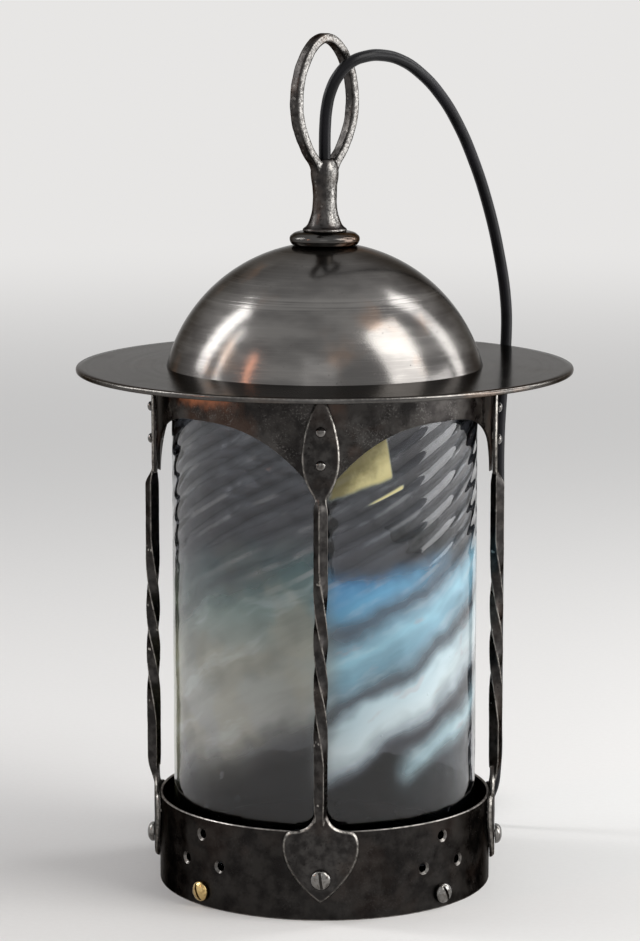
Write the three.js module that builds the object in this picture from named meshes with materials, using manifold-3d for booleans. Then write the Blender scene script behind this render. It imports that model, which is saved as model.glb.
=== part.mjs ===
// Hall lantern: a domed brim and a glass cylinder in a frame of two bands and four twisted straps,
// with a forged hanging loop, and a flex that leaves through the fork of the loop.
// Millimetres, +Z up. The origin is on the lantern's axis, on the table that it stands on.
// The front strap faces -Y.
import * as THREE from 'three';
import { mergeVertices } from 'three/addons/utils/BufferGeometryUtils.js';
import Module from 'manifold-3d';

const wasm = await Module();
wasm.setup();

// Clearances
const fit = 0.3; // between pieces that touch or slide
const headRoom = 1.6; // free space between moving or loose pieces

// Bands
const bandRadius = 85;
const bandWall = 1.5;
const footHeight = 45.3; // lower band, from the table
const flangeWidth = 5.5; // upper band's inward flange under the brim
const archMargin = 17.5; // band left over the top of an arch
const archRise = 35;
const archPower = 2.66; // how suddenly an arch drops to its point

// Vent groups and the screws under them
const ventDiameter = 4.4;
const ventSink = 1.1; // countersink, measured outwards from the hole's edge
const ventSpread = 12.2; // a side vent's distance from the group's middle, along the band
const ventMargin = 8.4; // top vent's centre below the band's rim

// Screws and rivets
const screwHead = 10.2;
const screwHeadHeight = 3.6;
const screwShank = 4;
const slotWidth = 1.4;
const slotDepth = 1.3;
const nutWidth = 7;
const nutHeight = 2.8;
const rivetHead = 5;
const rivetHeadHeight = 1.9;
const rivetShank = 2.6;

// Gallery ring and glass
const ringScrewRise = 7.7; // centre of the ring's screws above the table
const ringScrewTravel = 5; // backed out until its tip has left the ring and is still in the band
const ringSkirtBottom = 3;
const ringSkirtHeight = 8.7;
const ringSkirtWall = 1.4;
const ringFloor = 1.5;
const ringLip = 8; // lip that stands up inside the glass
const ringBoss = 8;
const glassInset = 7.5; // the glass's outside from the bands' outside
const glassRadius = bandRadius - glassInset;
const glassWall = 3;
const glassHeight = 244.9;
const glassLift = 4.5; // how far the glass can rise before it meets the flange

// Straps
const plateThickness = 2.5;
const barSide = 5.4;
const barSet = 1.2; // how far the bar's inner arris lies inside the plates' inner faces
const barTwist = 304.5; // degrees, from the leaf to the foot
const barStartTurn = -11.5; // the bar's arris at the leaf, degrees from straight out
const barTwistLength = 96;
const leafLength = 51;
const leafHalfWidth = 9.3;
const leafBelly = 23; // height of the widest place above the leaf's neck
const leafDrop = 1; // the leaf's tip below the underside of the brim
const upperRivetDrop = 18.9; // below the underside of the brim
const rivetSpacing = 16.4;
const footTipRise = 9.1;
const footHalfWidth = 18.9;
const footLength = 43; // from the tip to the neck
const footShoulder = 28.5; // height of the widest place above the tip
const footScrewRise = 21.8; // above the table

// Brim, dome and collar
const brimRadius = 125.7;
const brimSheet = 1.2;
const brimEdge = 2.6;
const brimEdgeWidth = 2;
const brimRound = 0.6;
const brimLap = 5; // width of the brim under the dome
const domeInset = 5; // the dome's outside from the bands' outside
const domeRadius = bandRadius - domeInset;
const domeHeight = 62;
const domeWall = 1.2;
const collarRadius = 17.7;
const collarHeight = 7.4;

// Hanging loop
const loopTurn = 45; // degrees that the loop's plane is turned from the front
const loopFlangeRadius = 11.2;
const loopFlange = 1.6;
const stemRadius = 6.15;
const stemHeight = 33; // collar to the throat of the fork
const eyeHeight = 63.5; // throat to the top of the loop's middle line
const eyeHalfWidth = 19.2;
const limbThickness = 4.8;
const limbDepth = 6.6;
const limbCorner = 1.3;

// Hollow tube, washer and nut under the crown
const tubeRadius = 5;
const tubeWall = 1.5;
const tubeLength = 34;
const tubeInStem = 8; // how far the tube reaches into the loop's stem
const washerRadius = 12;
const washerThickness = 1.6;
const lockNutWidth = 15;
const lockNutHeight = 4.5;

// Lampholder
const holderRadius = 19.5;
const holderWall = 1.8;
const holderCapHeight = 21;
const holderNeckRadius = 8.6;
const holderNeckHeight = 9;
const holderBodyHeight = 27;
const shadeRingRadius = 23.5;
const shadeRingHeight = 6;
const insertRadius = 16.5;
const insertHeight = 10;
const shellRadius = 14.2;
const shellWall = 0.9;
const shellHeight = 21;

// Flex, coil, tie and plug
const flexDiameter = 6;
const flexSides = 8;
const flexSteps = 58;
const floorGap = 0.05;
const coilX = 36;
const coilY = 147;
const coilMeanRadius = 34.6;
const coilPitch = 6.6; // between turns beside each other and on each other
const coilTurnsPerLayer = 2;
const coilRest = 1.2; // the coil lies on its tie
const tailLength = 40; // from the coil to the plug's boot
const tieThickness = 0.8;
const tieWidth = 9;
const tieAngle = 100; // degrees, seen from above
const bootLength = 21;
const plugLength = 35;
const plugWidth = 26;
const plugThickness = 13.6;
const pinDiameter = 4;
const pinLength = 19;
const pinSpacing = 18.6;

// Numbers of faces
const bandSides = 72;
const roundSides = 40;
const smallSides = 20;
const holeSides = 8;
const screwSides = 12;
const rivetSides = 8;

// Heights that follow from the sizes above
const ringSkirtTop = ringSkirtBottom + ringSkirtHeight;
const glassBottom = ringSkirtTop + fit;
const glassTop = glassBottom + glassHeight;
const flangeBottom = glassTop + glassLift + fit;
const bandTop = flangeBottom + bandWall;
const brimTop = bandTop + brimEdge;
const archTop = bandTop - archMargin;
const archPoint = archTop - archRise;
const sphereRadius = (domeRadius ** 2 + domeHeight ** 2) / (2 * domeHeight);
const sphereCentre = brimTop + domeHeight - sphereRadius;
const crownHole = tubeRadius + fit;
const collarBottom = onSphere(sphereRadius, collarRadius);
const collarTop = collarBottom + collarHeight;
const throat = collarTop + stemHeight;
const bandInside = bandRadius - bandWall;
const plateInside = bandRadius + fit;
const plateOutside = plateInside + plateThickness;
const barCentre = plateInside + barSide * Math.SQRT1_2 - barSet;
const ringScrewTip = bandRadius - bandWall / 2 - ringScrewTravel;
const neckTop = archPoint + 2;
const neckBottom = footTipRise + footLength;

const metal = (color, roughness) => new THREE.MeshStandardMaterial({ color, roughness, metalness: 0.9 });
const plastic = (color, roughness) => new THREE.MeshStandardMaterial({ color, roughness, metalness: 0 });
const finishes = {
  darkBronze: metal(0x4a4540, 0.42),
  forged: metal(0x55504b, 0.5),
  bright: metal(0xb8b4ac, 0.28),
  brass: metal(0xb08a4a, 0.3),
  holder: metal(0x8c6f45, 0.4),
  ceramic: plastic(0xe9e4d8, 0.45),
  flex: plastic(0x141418, 0.45),
  plug: plastic(0x18181b, 0.5),
  glass: new THREE.MeshStandardMaterial({
    color: 0xb9cdd2,
    roughness: 0.08,
    metalness: 0,
    transparent: true,
    opacity: 0.45,
  }),
};

function onSphere(radius, distance) {
  return sphereCentre + Math.sqrt(radius ** 2 - distance ** 2);
}

// Booleans
function toSolid(geometry) {
  const bare = geometry.index ? geometry.toNonIndexed() : geometry.clone();
  bare.deleteAttribute('normal');
  bare.deleteAttribute('uv');
  const merged = mergeVertices(bare, 1e-4);
  const corners = [];
  for (let i = 0; i < merged.index.count; i += 3) {
    const [a, b, c] = [0, 1, 2].map((k) => merged.index.getX(i + k));
    if (a !== b && b !== c && c !== a) corners.push(a, b, c);
  }
  const mesh = new wasm.Mesh({
    numProp: 3,
    vertProperties: new Float32Array(merged.attributes.position.array),
    triVerts: new Uint32Array(corners),
  });
  return new wasm.Manifold(mesh);
}

function toGeometry(solid) {
  const mesh = solid.getMesh();
  const geometry = new THREE.BufferGeometry();
  geometry.setAttribute('position', new THREE.BufferAttribute(new Float32Array(mesh.vertProperties), 3));
  geometry.setIndex(new THREE.BufferAttribute(new Uint32Array(mesh.triVerts), 1));
  geometry.computeVertexNormals();
  return geometry;
}

// A ring or disc turned about Z, from an outline of [radius, height] pairs.
function turned(outline, sides = roundSides) {
  const points = outline.map(([radius, height]) => new THREE.Vector2(radius, height));
  let area = 0;
  points.forEach((p, i) => {
    const q = points[(i + 1) % points.length];
    area += p.x * q.y - q.x * p.y;
  });
  if (area < 0) points.reverse();
  const onAxis = points[0].x === 0 && points[points.length - 1].x === 0;
  if (!onAxis) points.push(points[0].clone());
  return new THREE.LatheGeometry(points, sides).rotateX(Math.PI / 2);
}

// A turned piece whose own axis points outwards at the front, with height measured as a radius.
function turnedOutwards(outline, angle, height, sides = smallSides) {
  return aimed(turned(outline, sides), angle, height);
}

function aimed(geometry, angle, height) {
  geometry.rotateX(Math.PI / 2);
  geometry.translate(0, 0, height);
  return geometry.rotateZ(THREE.MathUtils.degToRad(angle));
}

function rod(radius, from, to) {
  return [[0, from], [radius, from], [radius, to], [0, to]];
}

const quarters = [0, 90, 180, 270];

// Bands
function upperBand() {
  const outline = [
    [bandInside, archTop],
    [bandRadius, archTop],
    [bandRadius, bandTop],
    [bandInside - flangeWidth, bandTop],
    [bandInside - flangeWidth, flangeBottom],
    [bandInside, flangeBottom],
  ];
  const geometry = turned(outline, bandSides);
  const place = geometry.attributes.position;
  for (let i = 0; i < place.count; i += 1) {
    if (Math.abs(place.getZ(i) - archTop) > 1e-3) continue;
    const angle = THREE.MathUtils.radToDeg(Math.atan2(place.getX(i), -place.getY(i)));
    const fromStrap = Math.abs(angle - 90 * Math.round(angle / 90));
    place.setZ(i, archTop - archRise * (1 - fromStrap / 45) ** archPower);
  }
  const holes = quarters.flatMap((angle) =>
    rivetHeights().map((height) => toSolid(rivetHole(angle, height))),
  );
  return toGeometry(toSolid(geometry).subtract(wasm.Manifold.union(holes)));
}

function rivetHeights() {
  const upper = bandTop - upperRivetDrop;
  return [upper, upper - rivetSpacing];
}

function rivetHole(angle, height) {
  const outline = rod(rivetShank / 2 + fit, bandInside - headRoom, plateOutside + headRoom);
  return turnedOutwards(outline, angle, height, holeSides);
}

function ventHole(angle, height) {
  const radius = ventDiameter / 2;
  const outline = [
    [0, bandInside - headRoom],
    [radius, bandInside - headRoom],
    [radius, bandRadius - ventSink],
    [radius + ventSink + headRoom, bandRadius + headRoom],
    [0, bandRadius + headRoom],
  ];
  return turnedOutwards(outline, angle, height, holeSides);
}

function screwHole(angle, height) {
  const outline = rod(screwShank / 2 + fit, bandInside - headRoom, plateOutside + headRoom);
  return turnedOutwards(outline, angle, height, holeSides);
}

function lowerBand() {
  const shell = turned([
    [bandInside, 0],
    [bandRadius, 0],
    [bandRadius, footHeight],
    [bandInside, footHeight],
  ], bandSides);
  const ventTop = footHeight - ventMargin;
  const ventMiddle = (ventTop + ringScrewRise) / 2;
  const sideStep = THREE.MathUtils.radToDeg(ventSpread / bandRadius);
  const holes = quarters.flatMap((angle) => [
    screwHole(angle, footScrewRise),
    screwHole(angle + 45, ringScrewRise),
    ventHole(angle + 45, ventTop),
    ventHole(angle + 45 - sideStep, ventMiddle),
    ventHole(angle + 45 + sideStep, ventMiddle),
  ]);
  return toGeometry(toSolid(shell).subtract(wasm.Manifold.union(holes.map(toSolid))));
}

// Straps
function leafOutline() {
  const half = barSide / 2;
  const shape = new THREE.Shape();
  const tip = leafLength;
  shape.moveTo(0, tip);
  shape.bezierCurveTo(-4.2, tip - 5, -leafHalfWidth, tip - 15, -leafHalfWidth, leafBelly);
  shape.bezierCurveTo(-leafHalfWidth, leafBelly - 11, -half - 2, 4, -half, 0);
  shape.lineTo(half, 0);
  shape.bezierCurveTo(half + 2, 4, leafHalfWidth, leafBelly - 11, leafHalfWidth, leafBelly);
  shape.bezierCurveTo(leafHalfWidth, tip - 15, 4.2, tip - 5, 0, tip);
  return shape;
}

function footOutline() {
  const half = barSide / 2;
  const wide = footHalfWidth;
  const shoulder = footShoulder;
  const top = footShoulder + 8.3; // where a shoulder turns level
  const shape = new THREE.Shape();
  shape.moveTo(0, 0);
  shape.bezierCurveTo(8, 5.5, wide, 17, wide, shoulder);
  shape.bezierCurveTo(wide, shoulder + 5, 17, top, 13.5, top);
  shape.bezierCurveTo(8, top + 0.2, half + 0.8, top + 1.5, half, footLength);
  shape.lineTo(-half, footLength);
  shape.bezierCurveTo(-half - 0.8, top + 1.5, -8, top + 0.2, -13.5, top);
  shape.bezierCurveTo(-17, top, -wide, shoulder + 5, -wide, shoulder);
  shape.bezierCurveTo(-wide, 17, -8, 5.5, 0, 0);
  return shape;
}

// A plate with that outline, bent to the band at the front.
function plate(outline, bottom) {
  const shell = turned([
    [plateInside, 0],
    [plateOutside, 0],
    [plateOutside, bandTop],
    [plateInside, bandTop],
  ], bandSides);
  const depth = 40;
  const prism = new THREE.ExtrudeGeometry(outline, { depth, bevelEnabled: false, curveSegments: 5 });
  prism.rotateX(Math.PI / 2);
  prism.translate(0, -bandRadius + depth / 2, bottom);
  return toSolid(shell).intersect(toSolid(prism));
}

function twistedBar() {
  const half = barSide / 2;
  const bottom = neckBottom - 8;
  const length = neckTop - bottom;
  const square = new THREE.Shape();
  square.moveTo(half, -half);
  square.lineTo(half, half);
  square.lineTo(-half, half);
  square.lineTo(-half, -half);
  const bar = new THREE.ExtrudeGeometry(square, { depth: length, steps: 32, bevelEnabled: false });
  const place = bar.attributes.position;
  const twistBottom = (length - barTwistLength) / 2;
  const spot = new THREE.Vector3();
  const up = new THREE.Vector3(0, 0, 1);
  for (let i = 0; i < place.count; i += 1) {
    spot.fromBufferAttribute(place, i);
    const share = THREE.MathUtils.clamp((spot.z - twistBottom) / barTwistLength, 0, 1);
    const eased = share * share * (3 - 2 * share) * 0.5 + share * 0.5;
    const turn = 45 + barStartTurn + barTwist * (1 - eased);
    spot.applyAxisAngle(up, THREE.MathUtils.degToRad(turn));
    place.setXYZ(i, spot.x, spot.y, spot.z);
  }
  bar.translate(0, -barCentre, bottom);
  return toSolid(bar);
}

function strap() {
  const whole = wasm.Manifold.union([
    plate(leafOutline(), bandTop - leafDrop - leafLength),
    plate(footOutline(), footTipRise),
    twistedBar(),
  ]);
  const clear = bandRadius + fit;
  const bands = [
    turned(rod(clear, -1, footHeight + fit), bandSides),
    turned(rod(clear, archPoint - fit, bandTop + 1), bandSides),
  ];
  const holes = rivetHeights().map((height) => rivetHole(0, height));
  holes.push(screwHole(0, footScrewRise));
  return toGeometry(whole.subtract(wasm.Manifold.union([...bands, ...holes].map(toSolid))));
}

// Fasteners
function rivet(angle, height) {
  const head = plateOutside + fit;
  const tail = bandInside - fit;
  const shank = rivetShank / 2;
  const outline = [
    [0, tail - 1],
    [rivetHead * 0.4, tail - 1],
    [rivetHead * 0.4, tail],
    [shank, tail],
    [shank, head],
    [rivetHead / 2, head],
    [rivetHead * 0.4, head + rivetHeadHeight * 0.65],
    [0, head + rivetHeadHeight],
  ];
  return turnedOutwards(outline, angle, height, rivetSides);
}

function slottedScrew(seat, tip, slotTurn) {
  const shank = screwShank / 2;
  const radius = screwHead / 2;
  const top = seat + screwHeadHeight;
  const outline = [
    [0, tip],
    [shank, tip],
    [shank, seat],
    [radius, seat],
    [radius, seat + screwHeadHeight * 0.25],
    [radius * 0.86, seat + screwHeadHeight * 0.62],
    [radius * 0.5, seat + screwHeadHeight * 0.92],
    [0, top],
  ];
  const slot = new THREE.BoxGeometry(screwHead + 2, slotWidth, slotDepth * 2);
  slot.translate(0, 0, top);
  slot.rotateZ(THREE.MathUtils.degToRad(slotTurn));
  return toGeometry(toSolid(turned(outline, screwSides)).subtract(toSolid(slot)));
}

function hexNut(width, boltRadius, bottom, height) {
  const corner = width / Math.sqrt(3);
  const hole = (boltRadius + fit) / Math.cos(Math.PI / 6);
  return turned([[hole, bottom], [corner, bottom], [corner, bottom + height], [hole, bottom + height]], 6);
}

function strapNut(angle) {
  const seat = bandInside - fit;
  const nut = hexNut(nutWidth, screwShank / 2, seat - nutHeight, nutHeight);
  return aimed(nut, angle, footScrewRise);
}

// Ring that carries the glass
function galleryRing() {
  const skirtOutside = bandInside - fit;
  const skirtInside = skirtOutside - ringSkirtWall;
  const lipOutside = glassRadius - glassWall - fit;
  const lipInside = lipOutside - ringSkirtWall;
  const floorBottom = ringSkirtTop - ringFloor;
  const ring = turned([
    [skirtInside, ringSkirtBottom],
    [skirtOutside, ringSkirtBottom],
    [skirtOutside, ringSkirtTop],
    [lipOutside, ringSkirtTop],
    [lipOutside, ringSkirtTop + ringLip],
    [lipInside, ringSkirtTop + ringLip],
    [lipInside, floorBottom],
    [skirtInside, floorBottom],
  ], bandSides / 2);
  const bossInside = ringScrewTip - fit;
  const parts = [toSolid(ring)];
  const cuts = [];
  quarters.forEach((angle) => {
    const boss = rod(ringBoss / 2, bossInside, skirtInside + ringSkirtWall / 2);
    parts.push(toSolid(turnedOutwards(boss, angle + 45, ringScrewRise, holeSides)));
    const hole = rod(screwShank / 2 + fit, bossInside - 1, bandRadius);
    cuts.push(toSolid(turnedOutwards(hole, angle + 45, ringScrewRise, holeSides)));
  });
  return toGeometry(wasm.Manifold.union(parts).subtract(wasm.Manifold.union(cuts)));
}

function glassCylinder() {
  const inside = glassRadius - glassWall;
  const round = glassWall * 0.3;
  return turned([
    [inside, glassBottom],
    [glassRadius, glassBottom],
    [glassRadius, glassTop - round],
    [glassRadius - round, glassTop],
    [inside + round, glassTop],
    [inside, glassTop - round],
  ], bandSides / 2);
}

// Brim and dome
function brim() {
  const hole = domeRadius - brimLap;
  return turned([
    [hole, brimTop - brimSheet],
    [brimRadius - brimEdgeWidth, brimTop - brimSheet],
    [brimRadius - brimEdgeWidth, brimTop - brimEdge],
    [brimRadius - brimRound, brimTop - brimEdge],
    [brimRadius, brimTop - brimEdge / 2],
    [brimRadius - brimRound, brimTop],
    [hole, brimTop],
  ], bandSides);
}

// The band's flange is lifted to the brim's sheet by a spacer ring that both are soldered to.
function brimSpacer() {
  const inside = bandInside - flangeWidth;
  return turned([
    [inside, bandTop],
    [bandRadius, bandTop],
    [bandRadius, brimTop - brimSheet],
    [inside, brimTop - brimSheet],
  ]);
}

function dome() {
  const steps = 9;
  const arc = (radius) => {
    const base = Math.acos((brimTop - sphereCentre) / radius);
    const crown = Math.asin(crownHole / radius);
    return Array.from({ length: steps + 1 }, (_, i) => {
      const angle = THREE.MathUtils.lerp(base, crown, i / steps);
      return [radius * Math.sin(angle), sphereCentre + radius * Math.cos(angle)];
    });
  };
  return turned([...arc(sphereRadius), ...arc(sphereRadius - domeWall).reverse()]);
}

// Collar and hanging loop
function collar() {
  const under = (distance) => onSphere(sphereRadius, distance) + fit;
  const middle = collarBottom + collarHeight * 0.48;
  return turned([
    [crownHole, under(crownHole)],
    [collarRadius * 0.45, under(collarRadius * 0.45)],
    [collarRadius * 0.84, under(collarRadius * 0.84)],
    [collarRadius * 0.95, middle - collarHeight * 0.25],
    [collarRadius, middle],
    [collarRadius * 0.96, middle + collarHeight * 0.24],
    [collarRadius * 0.86, collarTop - collarHeight * 0.08],
    [collarRadius * 0.74, collarTop],
    [crownHole, collarTop],
  ], 36);
}

function stem() {
  const bottom = collarTop;
  const neck = stemRadius;
  const height = throat - bottom;
  return turned([
    [0, bottom],
    [loopFlangeRadius, bottom],
    [loopFlangeRadius, bottom + loopFlange],
    [loopFlangeRadius * 0.86, bottom + loopFlange * 1.5],
    [neck + 2.2, bottom + loopFlange * 2.6],
    [neck + 0.7, bottom + height * 0.26],
    [neck, bottom + height * 0.42],
    [neck + 0.05, bottom + height * 0.66],
    [neck + 0.9, bottom + height * 0.86],
    [neck + 0.4, bottom + height * 0.97],
    [neck - 1.2, throat],
    [0, throat],
  ], smallSides);
}

// Middle line of the loop, as [share of the half width, share of the height above the throat].
const eyeLine = [
  [0.1, -0.28],
  [0.15, -0.14],
  [0.32, 0.01],
  [0.62, 0.13],
  [0.92, 0.32],
  [1, 0.51],
  [0.91, 0.7],
  [0.66, 0.86],
  [0.36, 0.96],
];

function loopRing() {
  const side = eyeLine.map(([x, z]) => [x * eyeHalfWidth, throat + z * eyeHeight]);
  const points = [
    ...side.map(([x, z]) => new THREE.Vector3(x, 0, z)),
    new THREE.Vector3(0, 0, throat + eyeHeight),
    ...side.reverse().map(([x, z]) => new THREE.Vector3(-x, 0, z)),
  ];
  const line = new THREE.CatmullRomCurve3(points);
  const deep = limbDepth / 2;
  const thick = limbThickness / 2;
  const corner = limbCorner;
  const section = new THREE.Shape([
    new THREE.Vector2(deep - corner, -thick),
    new THREE.Vector2(deep, -thick + corner),
    new THREE.Vector2(deep, thick - corner),
    new THREE.Vector2(deep - corner, thick),
    new THREE.Vector2(-deep + corner, thick),
    new THREE.Vector2(-deep, thick - corner),
    new THREE.Vector2(-deep, -thick + corner),
    new THREE.Vector2(-deep + corner, -thick),
  ]);
  return new THREE.ExtrudeGeometry(section, { steps: 44, bevelEnabled: false, extrudePath: line });
}

function hangingLoop() {
  const ring = loopRing().rotateZ(THREE.MathUtils.degToRad(loopTurn));
  const bore = turned(rod(flexDiameter / 2 + fit, collarTop - 1, throat + 5), 16);
  const socket = turned(rod(crownHole, collarTop - 1, collarTop + tubeInStem + fit), smallSides);
  const whole = toSolid(stem()).add(toSolid(ring));
  return toGeometry(whole.subtract(toSolid(bore)).subtract(toSolid(socket)));
}

// Tube, washer and nut
const tubeTop = collarTop + tubeInStem;
const tubeBottom = tubeTop - tubeLength;
const washerTop = sphereCentre + Math.sqrt((sphereRadius - domeWall) ** 2 - washerRadius ** 2) - fit;
const lockNutTop = washerTop - washerThickness;
const holderTop = lockNutTop - lockNutHeight - fit;

function threadedTube() {
  const inside = tubeRadius - tubeWall;
  return turned([
    [inside, tubeBottom],
    [tubeRadius, tubeBottom],
    [tubeRadius, tubeTop],
    [inside, tubeTop],
  ], smallSides);
}

function crownWasher() {
  return turned([
    [crownHole, washerTop - washerThickness],
    [washerRadius, washerTop - washerThickness],
    [washerRadius, washerTop],
    [crownHole, washerTop],
  ], smallSides);
}

// Lampholder
const capBottom = holderTop - holderCapHeight;
const bodyBottom = capBottom - holderBodyHeight;
const insertTop = capBottom - fit;

function holderCap() {
  const shoulder = holderTop - holderNeckHeight;
  return turned([
    [crownHole, holderTop],
    [holderNeckRadius, holderTop],
    [holderNeckRadius, shoulder],
    [holderRadius * 0.8, shoulder - 3],
    [holderRadius, shoulder - 7],
    [holderRadius, capBottom],
    [holderRadius - holderWall, capBottom],
    [holderRadius - holderWall, shoulder - 7 - holderWall / 2],
    [holderRadius * 0.8 - holderWall, shoulder - 3 - holderWall],
    [crownHole, shoulder - holderWall],
  ], smallSides);
}

function holderBody() {
  const inside = holderRadius - holderWall;
  return turned([
    [inside, bodyBottom],
    [holderRadius, bodyBottom],
    [holderRadius, capBottom],
    [inside, capBottom],
  ], smallSides);
}

function shadeRing() {
  const inside = holderRadius + fit;
  const bottom = bodyBottom + shadeRingHeight;
  return turned([
    [inside, bottom],
    [shadeRingRadius - 1.5, bottom],
    [shadeRingRadius, bottom + 1.5],
    [shadeRingRadius, bottom + shadeRingHeight],
    [inside, bottom + shadeRingHeight],
  ], smallSides);
}

function holderInsert() {
  const bottom = insertTop - insertHeight;
  const outside = holderRadius - holderWall - fit;
  return turned([
    [flexDiameter / 2, bottom],
    [insertRadius, bottom],
    [outside, bottom + insertHeight / 2],
    [outside, insertTop],
    [flexDiameter / 2, insertTop],
  ], smallSides);
}

function screwShell() {
  const top = insertTop - insertHeight - fit;
  const inside = shellRadius - shellWall;
  const outline = [[inside, top - shellHeight + insertHeight]];
  const ridges = 3;
  const step = (shellHeight - insertHeight) / (2 * ridges);
  for (let i = 0; i <= 2 * ridges; i += 1) {
    outline.push([shellRadius + (i % 2) * 0.8, top - shellHeight + insertHeight + i * step]);
  }
  outline.push([inside, top]);
  return turned(outline, smallSides);
}

function centreContact() {
  const top = insertTop - insertHeight - fit;
  const tab = new THREE.Shape();
  tab.moveTo(-8, 0);
  tab.lineTo(-2, 0);
  tab.lineTo(5, -4);
  tab.lineTo(5, -5);
  tab.lineTo(-2, -1);
  tab.lineTo(-8, -1);
  const contact = new THREE.ExtrudeGeometry(tab, { depth: 6, bevelEnabled: false });
  return contact.rotateX(Math.PI / 2).translate(0, 3, top);
}

// Flex
const flexRadius = flexDiameter / 2;
const leadTop = throat + 0.2;
const floorLine = flexRadius + floorGap;
const coilBottom = flexRadius + coilRest;
const coilOutside = coilMeanRadius + (coilPitch * coilTurnsPerLayer) / 2;
const coilInside = coilMeanRadius - (coilPitch * coilTurnsPerLayer) / 2;
const coilStart = new THREE.Vector3(coilX, coilY - coilOutside, coilBottom);

function tubeAlong(line, radius, sides, steps) {
  const section = new THREE.Shape();
  for (let i = 0; i < sides; i += 1) {
    const angle = (2 * Math.PI * i) / sides;
    const spot = [radius * Math.cos(angle), radius * Math.sin(angle)];
    if (i === 0) section.moveTo(...spot);
    else section.lineTo(...spot);
  }
  return new THREE.ExtrudeGeometry(section, { steps, bevelEnabled: false, extrudePath: line });
}

// The free stretch's route: up out of the fork, out through the front of the loop, over to the right,
// down behind the brim and the right strap, and along the table to the coil.
const flexRoute = [
  [0, 0, leadTop + fit],
  [0, 0, leadTop + flexDiameter],
  [0, 0, 379],
  [0.2, 0, 386],
  [1, -0.3, 395],
  [3, -0.9, 403.5],
  [7, -0.8, 411.5],
  [13, 1.6, 417.6],
  [20.5, 6.2, 420.4],
  [28.5, 12.5, 420.7],
  [38, 20.5, 418],
  [48.5, 31, 410.5],
  [58.7, 42.5, 398.8],
  [67.5, 54.5, 384],
  [75.2, 65.5, 366.5],
  [83.6, 78, 341.5],
  [90.2, 86.5, 314],
  [94.2, 91, 288],
  [94.6, 92.3, 268],
  [93, 92.4, 245],
  [91.4, 92.2, 215],
  [91.4, 92.2, 180],
  [91.4, 92.2, 140],
  [91.4, 92.2, 100],
  [91.4, 92.2, 60],
  [91.2, 92.3, 36],
  [88.4, 93.4, 18.6],
  [80.4, 96.4, 7.2],
  [69, 100.4, floorLine],
  [58, 103.6, 3.3],
  [53.2, 104.9, 3.75],
];

function flexLine() {
  const points = flexRoute.map((spot) => new THREE.Vector3(...spot));
  const end = coilStart.clone().add(new THREE.Vector3(flexDiameter + fit, 0, 0));
  points.push(end.clone().add(new THREE.Vector3(flexDiameter, 0, 0)), end);
  return new THREE.CatmullRomCurve3(points, false, 'centripetal');
}

// The coil runs clockwise, inwards on the table and outwards on top, and climbs where it turns back.
function coilPoint(turns) {
  const middle = coilTurnsPerLayer;
  const radius = coilInside + coilPitch * Math.abs(turns - middle);
  const climb = THREE.MathUtils.smoothstep(turns, middle - 0.25, middle + 0.25);
  const angle = -Math.PI / 2 - 2 * Math.PI * turns;
  return new THREE.Vector3(
    coilX + radius * Math.cos(angle),
    coilY + radius * Math.sin(angle),
    coilBottom + coilPitch * climb,
  );
}

const plugAxis = plugThickness / 2 + floorGap;
const tailEnd = new THREE.Vector3(coilX - tailLength, coilY - coilOutside, plugAxis);

function coilPoints() {
  const points = [coilStart.clone().add(new THREE.Vector3(flexDiameter, 0, 0))];
  const stepsPerTurn = 24;
  const steps = 2 * coilTurnsPerLayer * stepsPerTurn;
  for (let i = 0; i <= steps; i += 1) points.push(coilPoint(i / stepsPerTurn));
  const top = points[points.length - 1];
  [[0.14, 0.01], [0.28, 0.08], [0.42, 0.3], [0.56, 0.62], [0.7, 0.9]].forEach(([along, down]) => {
    points.push(new THREE.Vector3(
      coilX - tailLength * along,
      top.y,
      THREE.MathUtils.lerp(top.z, plugAxis, down),
    ));
  });
  points.push(tailEnd.clone().add(new THREE.Vector3(flexDiameter, 0, 0)));
  points.push(tailEnd);
  return points;
}

function coilTube(points) {
  const line = new THREE.CatmullRomCurve3(points, false, 'centripetal');
  return tubeAlong(line, flexRadius, 6, points.length - 1);
}

// The least distance between the coil's own stretches, less its diameter.
function leastGap(points) {
  const line = new THREE.CatmullRomCurve3(points, false, 'centripetal');
  const spots = line.getSpacedPoints(600);
  const apart = Math.ceil((3 * flexDiameter) / (line.getLength() / 600));
  let least = Infinity;
  for (let i = 0; i < spots.length; i += 1) {
    for (let j = i + apart; j < spots.length; j += 1) {
      least = Math.min(least, spots[i].distanceTo(spots[j]) - flexDiameter);
    }
  }
  return least;
}

function coilTie() {
  const gap = fit;
  const inside = {
    left: coilInside - flexRadius - gap,
    right: coilOutside + flexRadius + gap,
    bottom: coilBottom - flexRadius - gap,
    top: coilBottom + coilPitch + flexRadius + gap,
  };
  const band = tieShape(inside, tieThickness);
  band.holes.push(tieShape(inside, 0));
  const tie = new THREE.ExtrudeGeometry(band, { depth: tieWidth, bevelEnabled: false, curveSegments: 4 });
  tie.rotateX(Math.PI / 2).translate(0, tieWidth / 2, 0);
  tie.rotateZ(THREE.MathUtils.degToRad(tieAngle));
  return tie.translate(coilX, coilY, 0);
}

function tieShape({ left, right, bottom, top }, grow) {
  const [l, r, b, t] = [left - grow, right + grow, bottom - grow, top + grow];
  const round = 1.2 + grow;
  const shape = new THREE.Shape();
  shape.moveTo(l + round, b);
  shape.lineTo(r - round, b);
  shape.quadraticCurveTo(r, b, r, b + round);
  shape.lineTo(r, t - round);
  shape.quadraticCurveTo(r, t, r - round, t);
  shape.lineTo(l + round, t);
  shape.quadraticCurveTo(l, t, l, t - round);
  shape.lineTo(l, b + round);
  shape.quadraticCurveTo(l, b, l + round, b);
  return shape;
}

// Plug, pointing along -X from the end of the flex
const plugStart = tailEnd.x - fit;
const plugBack = plugStart - bootLength;

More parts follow.
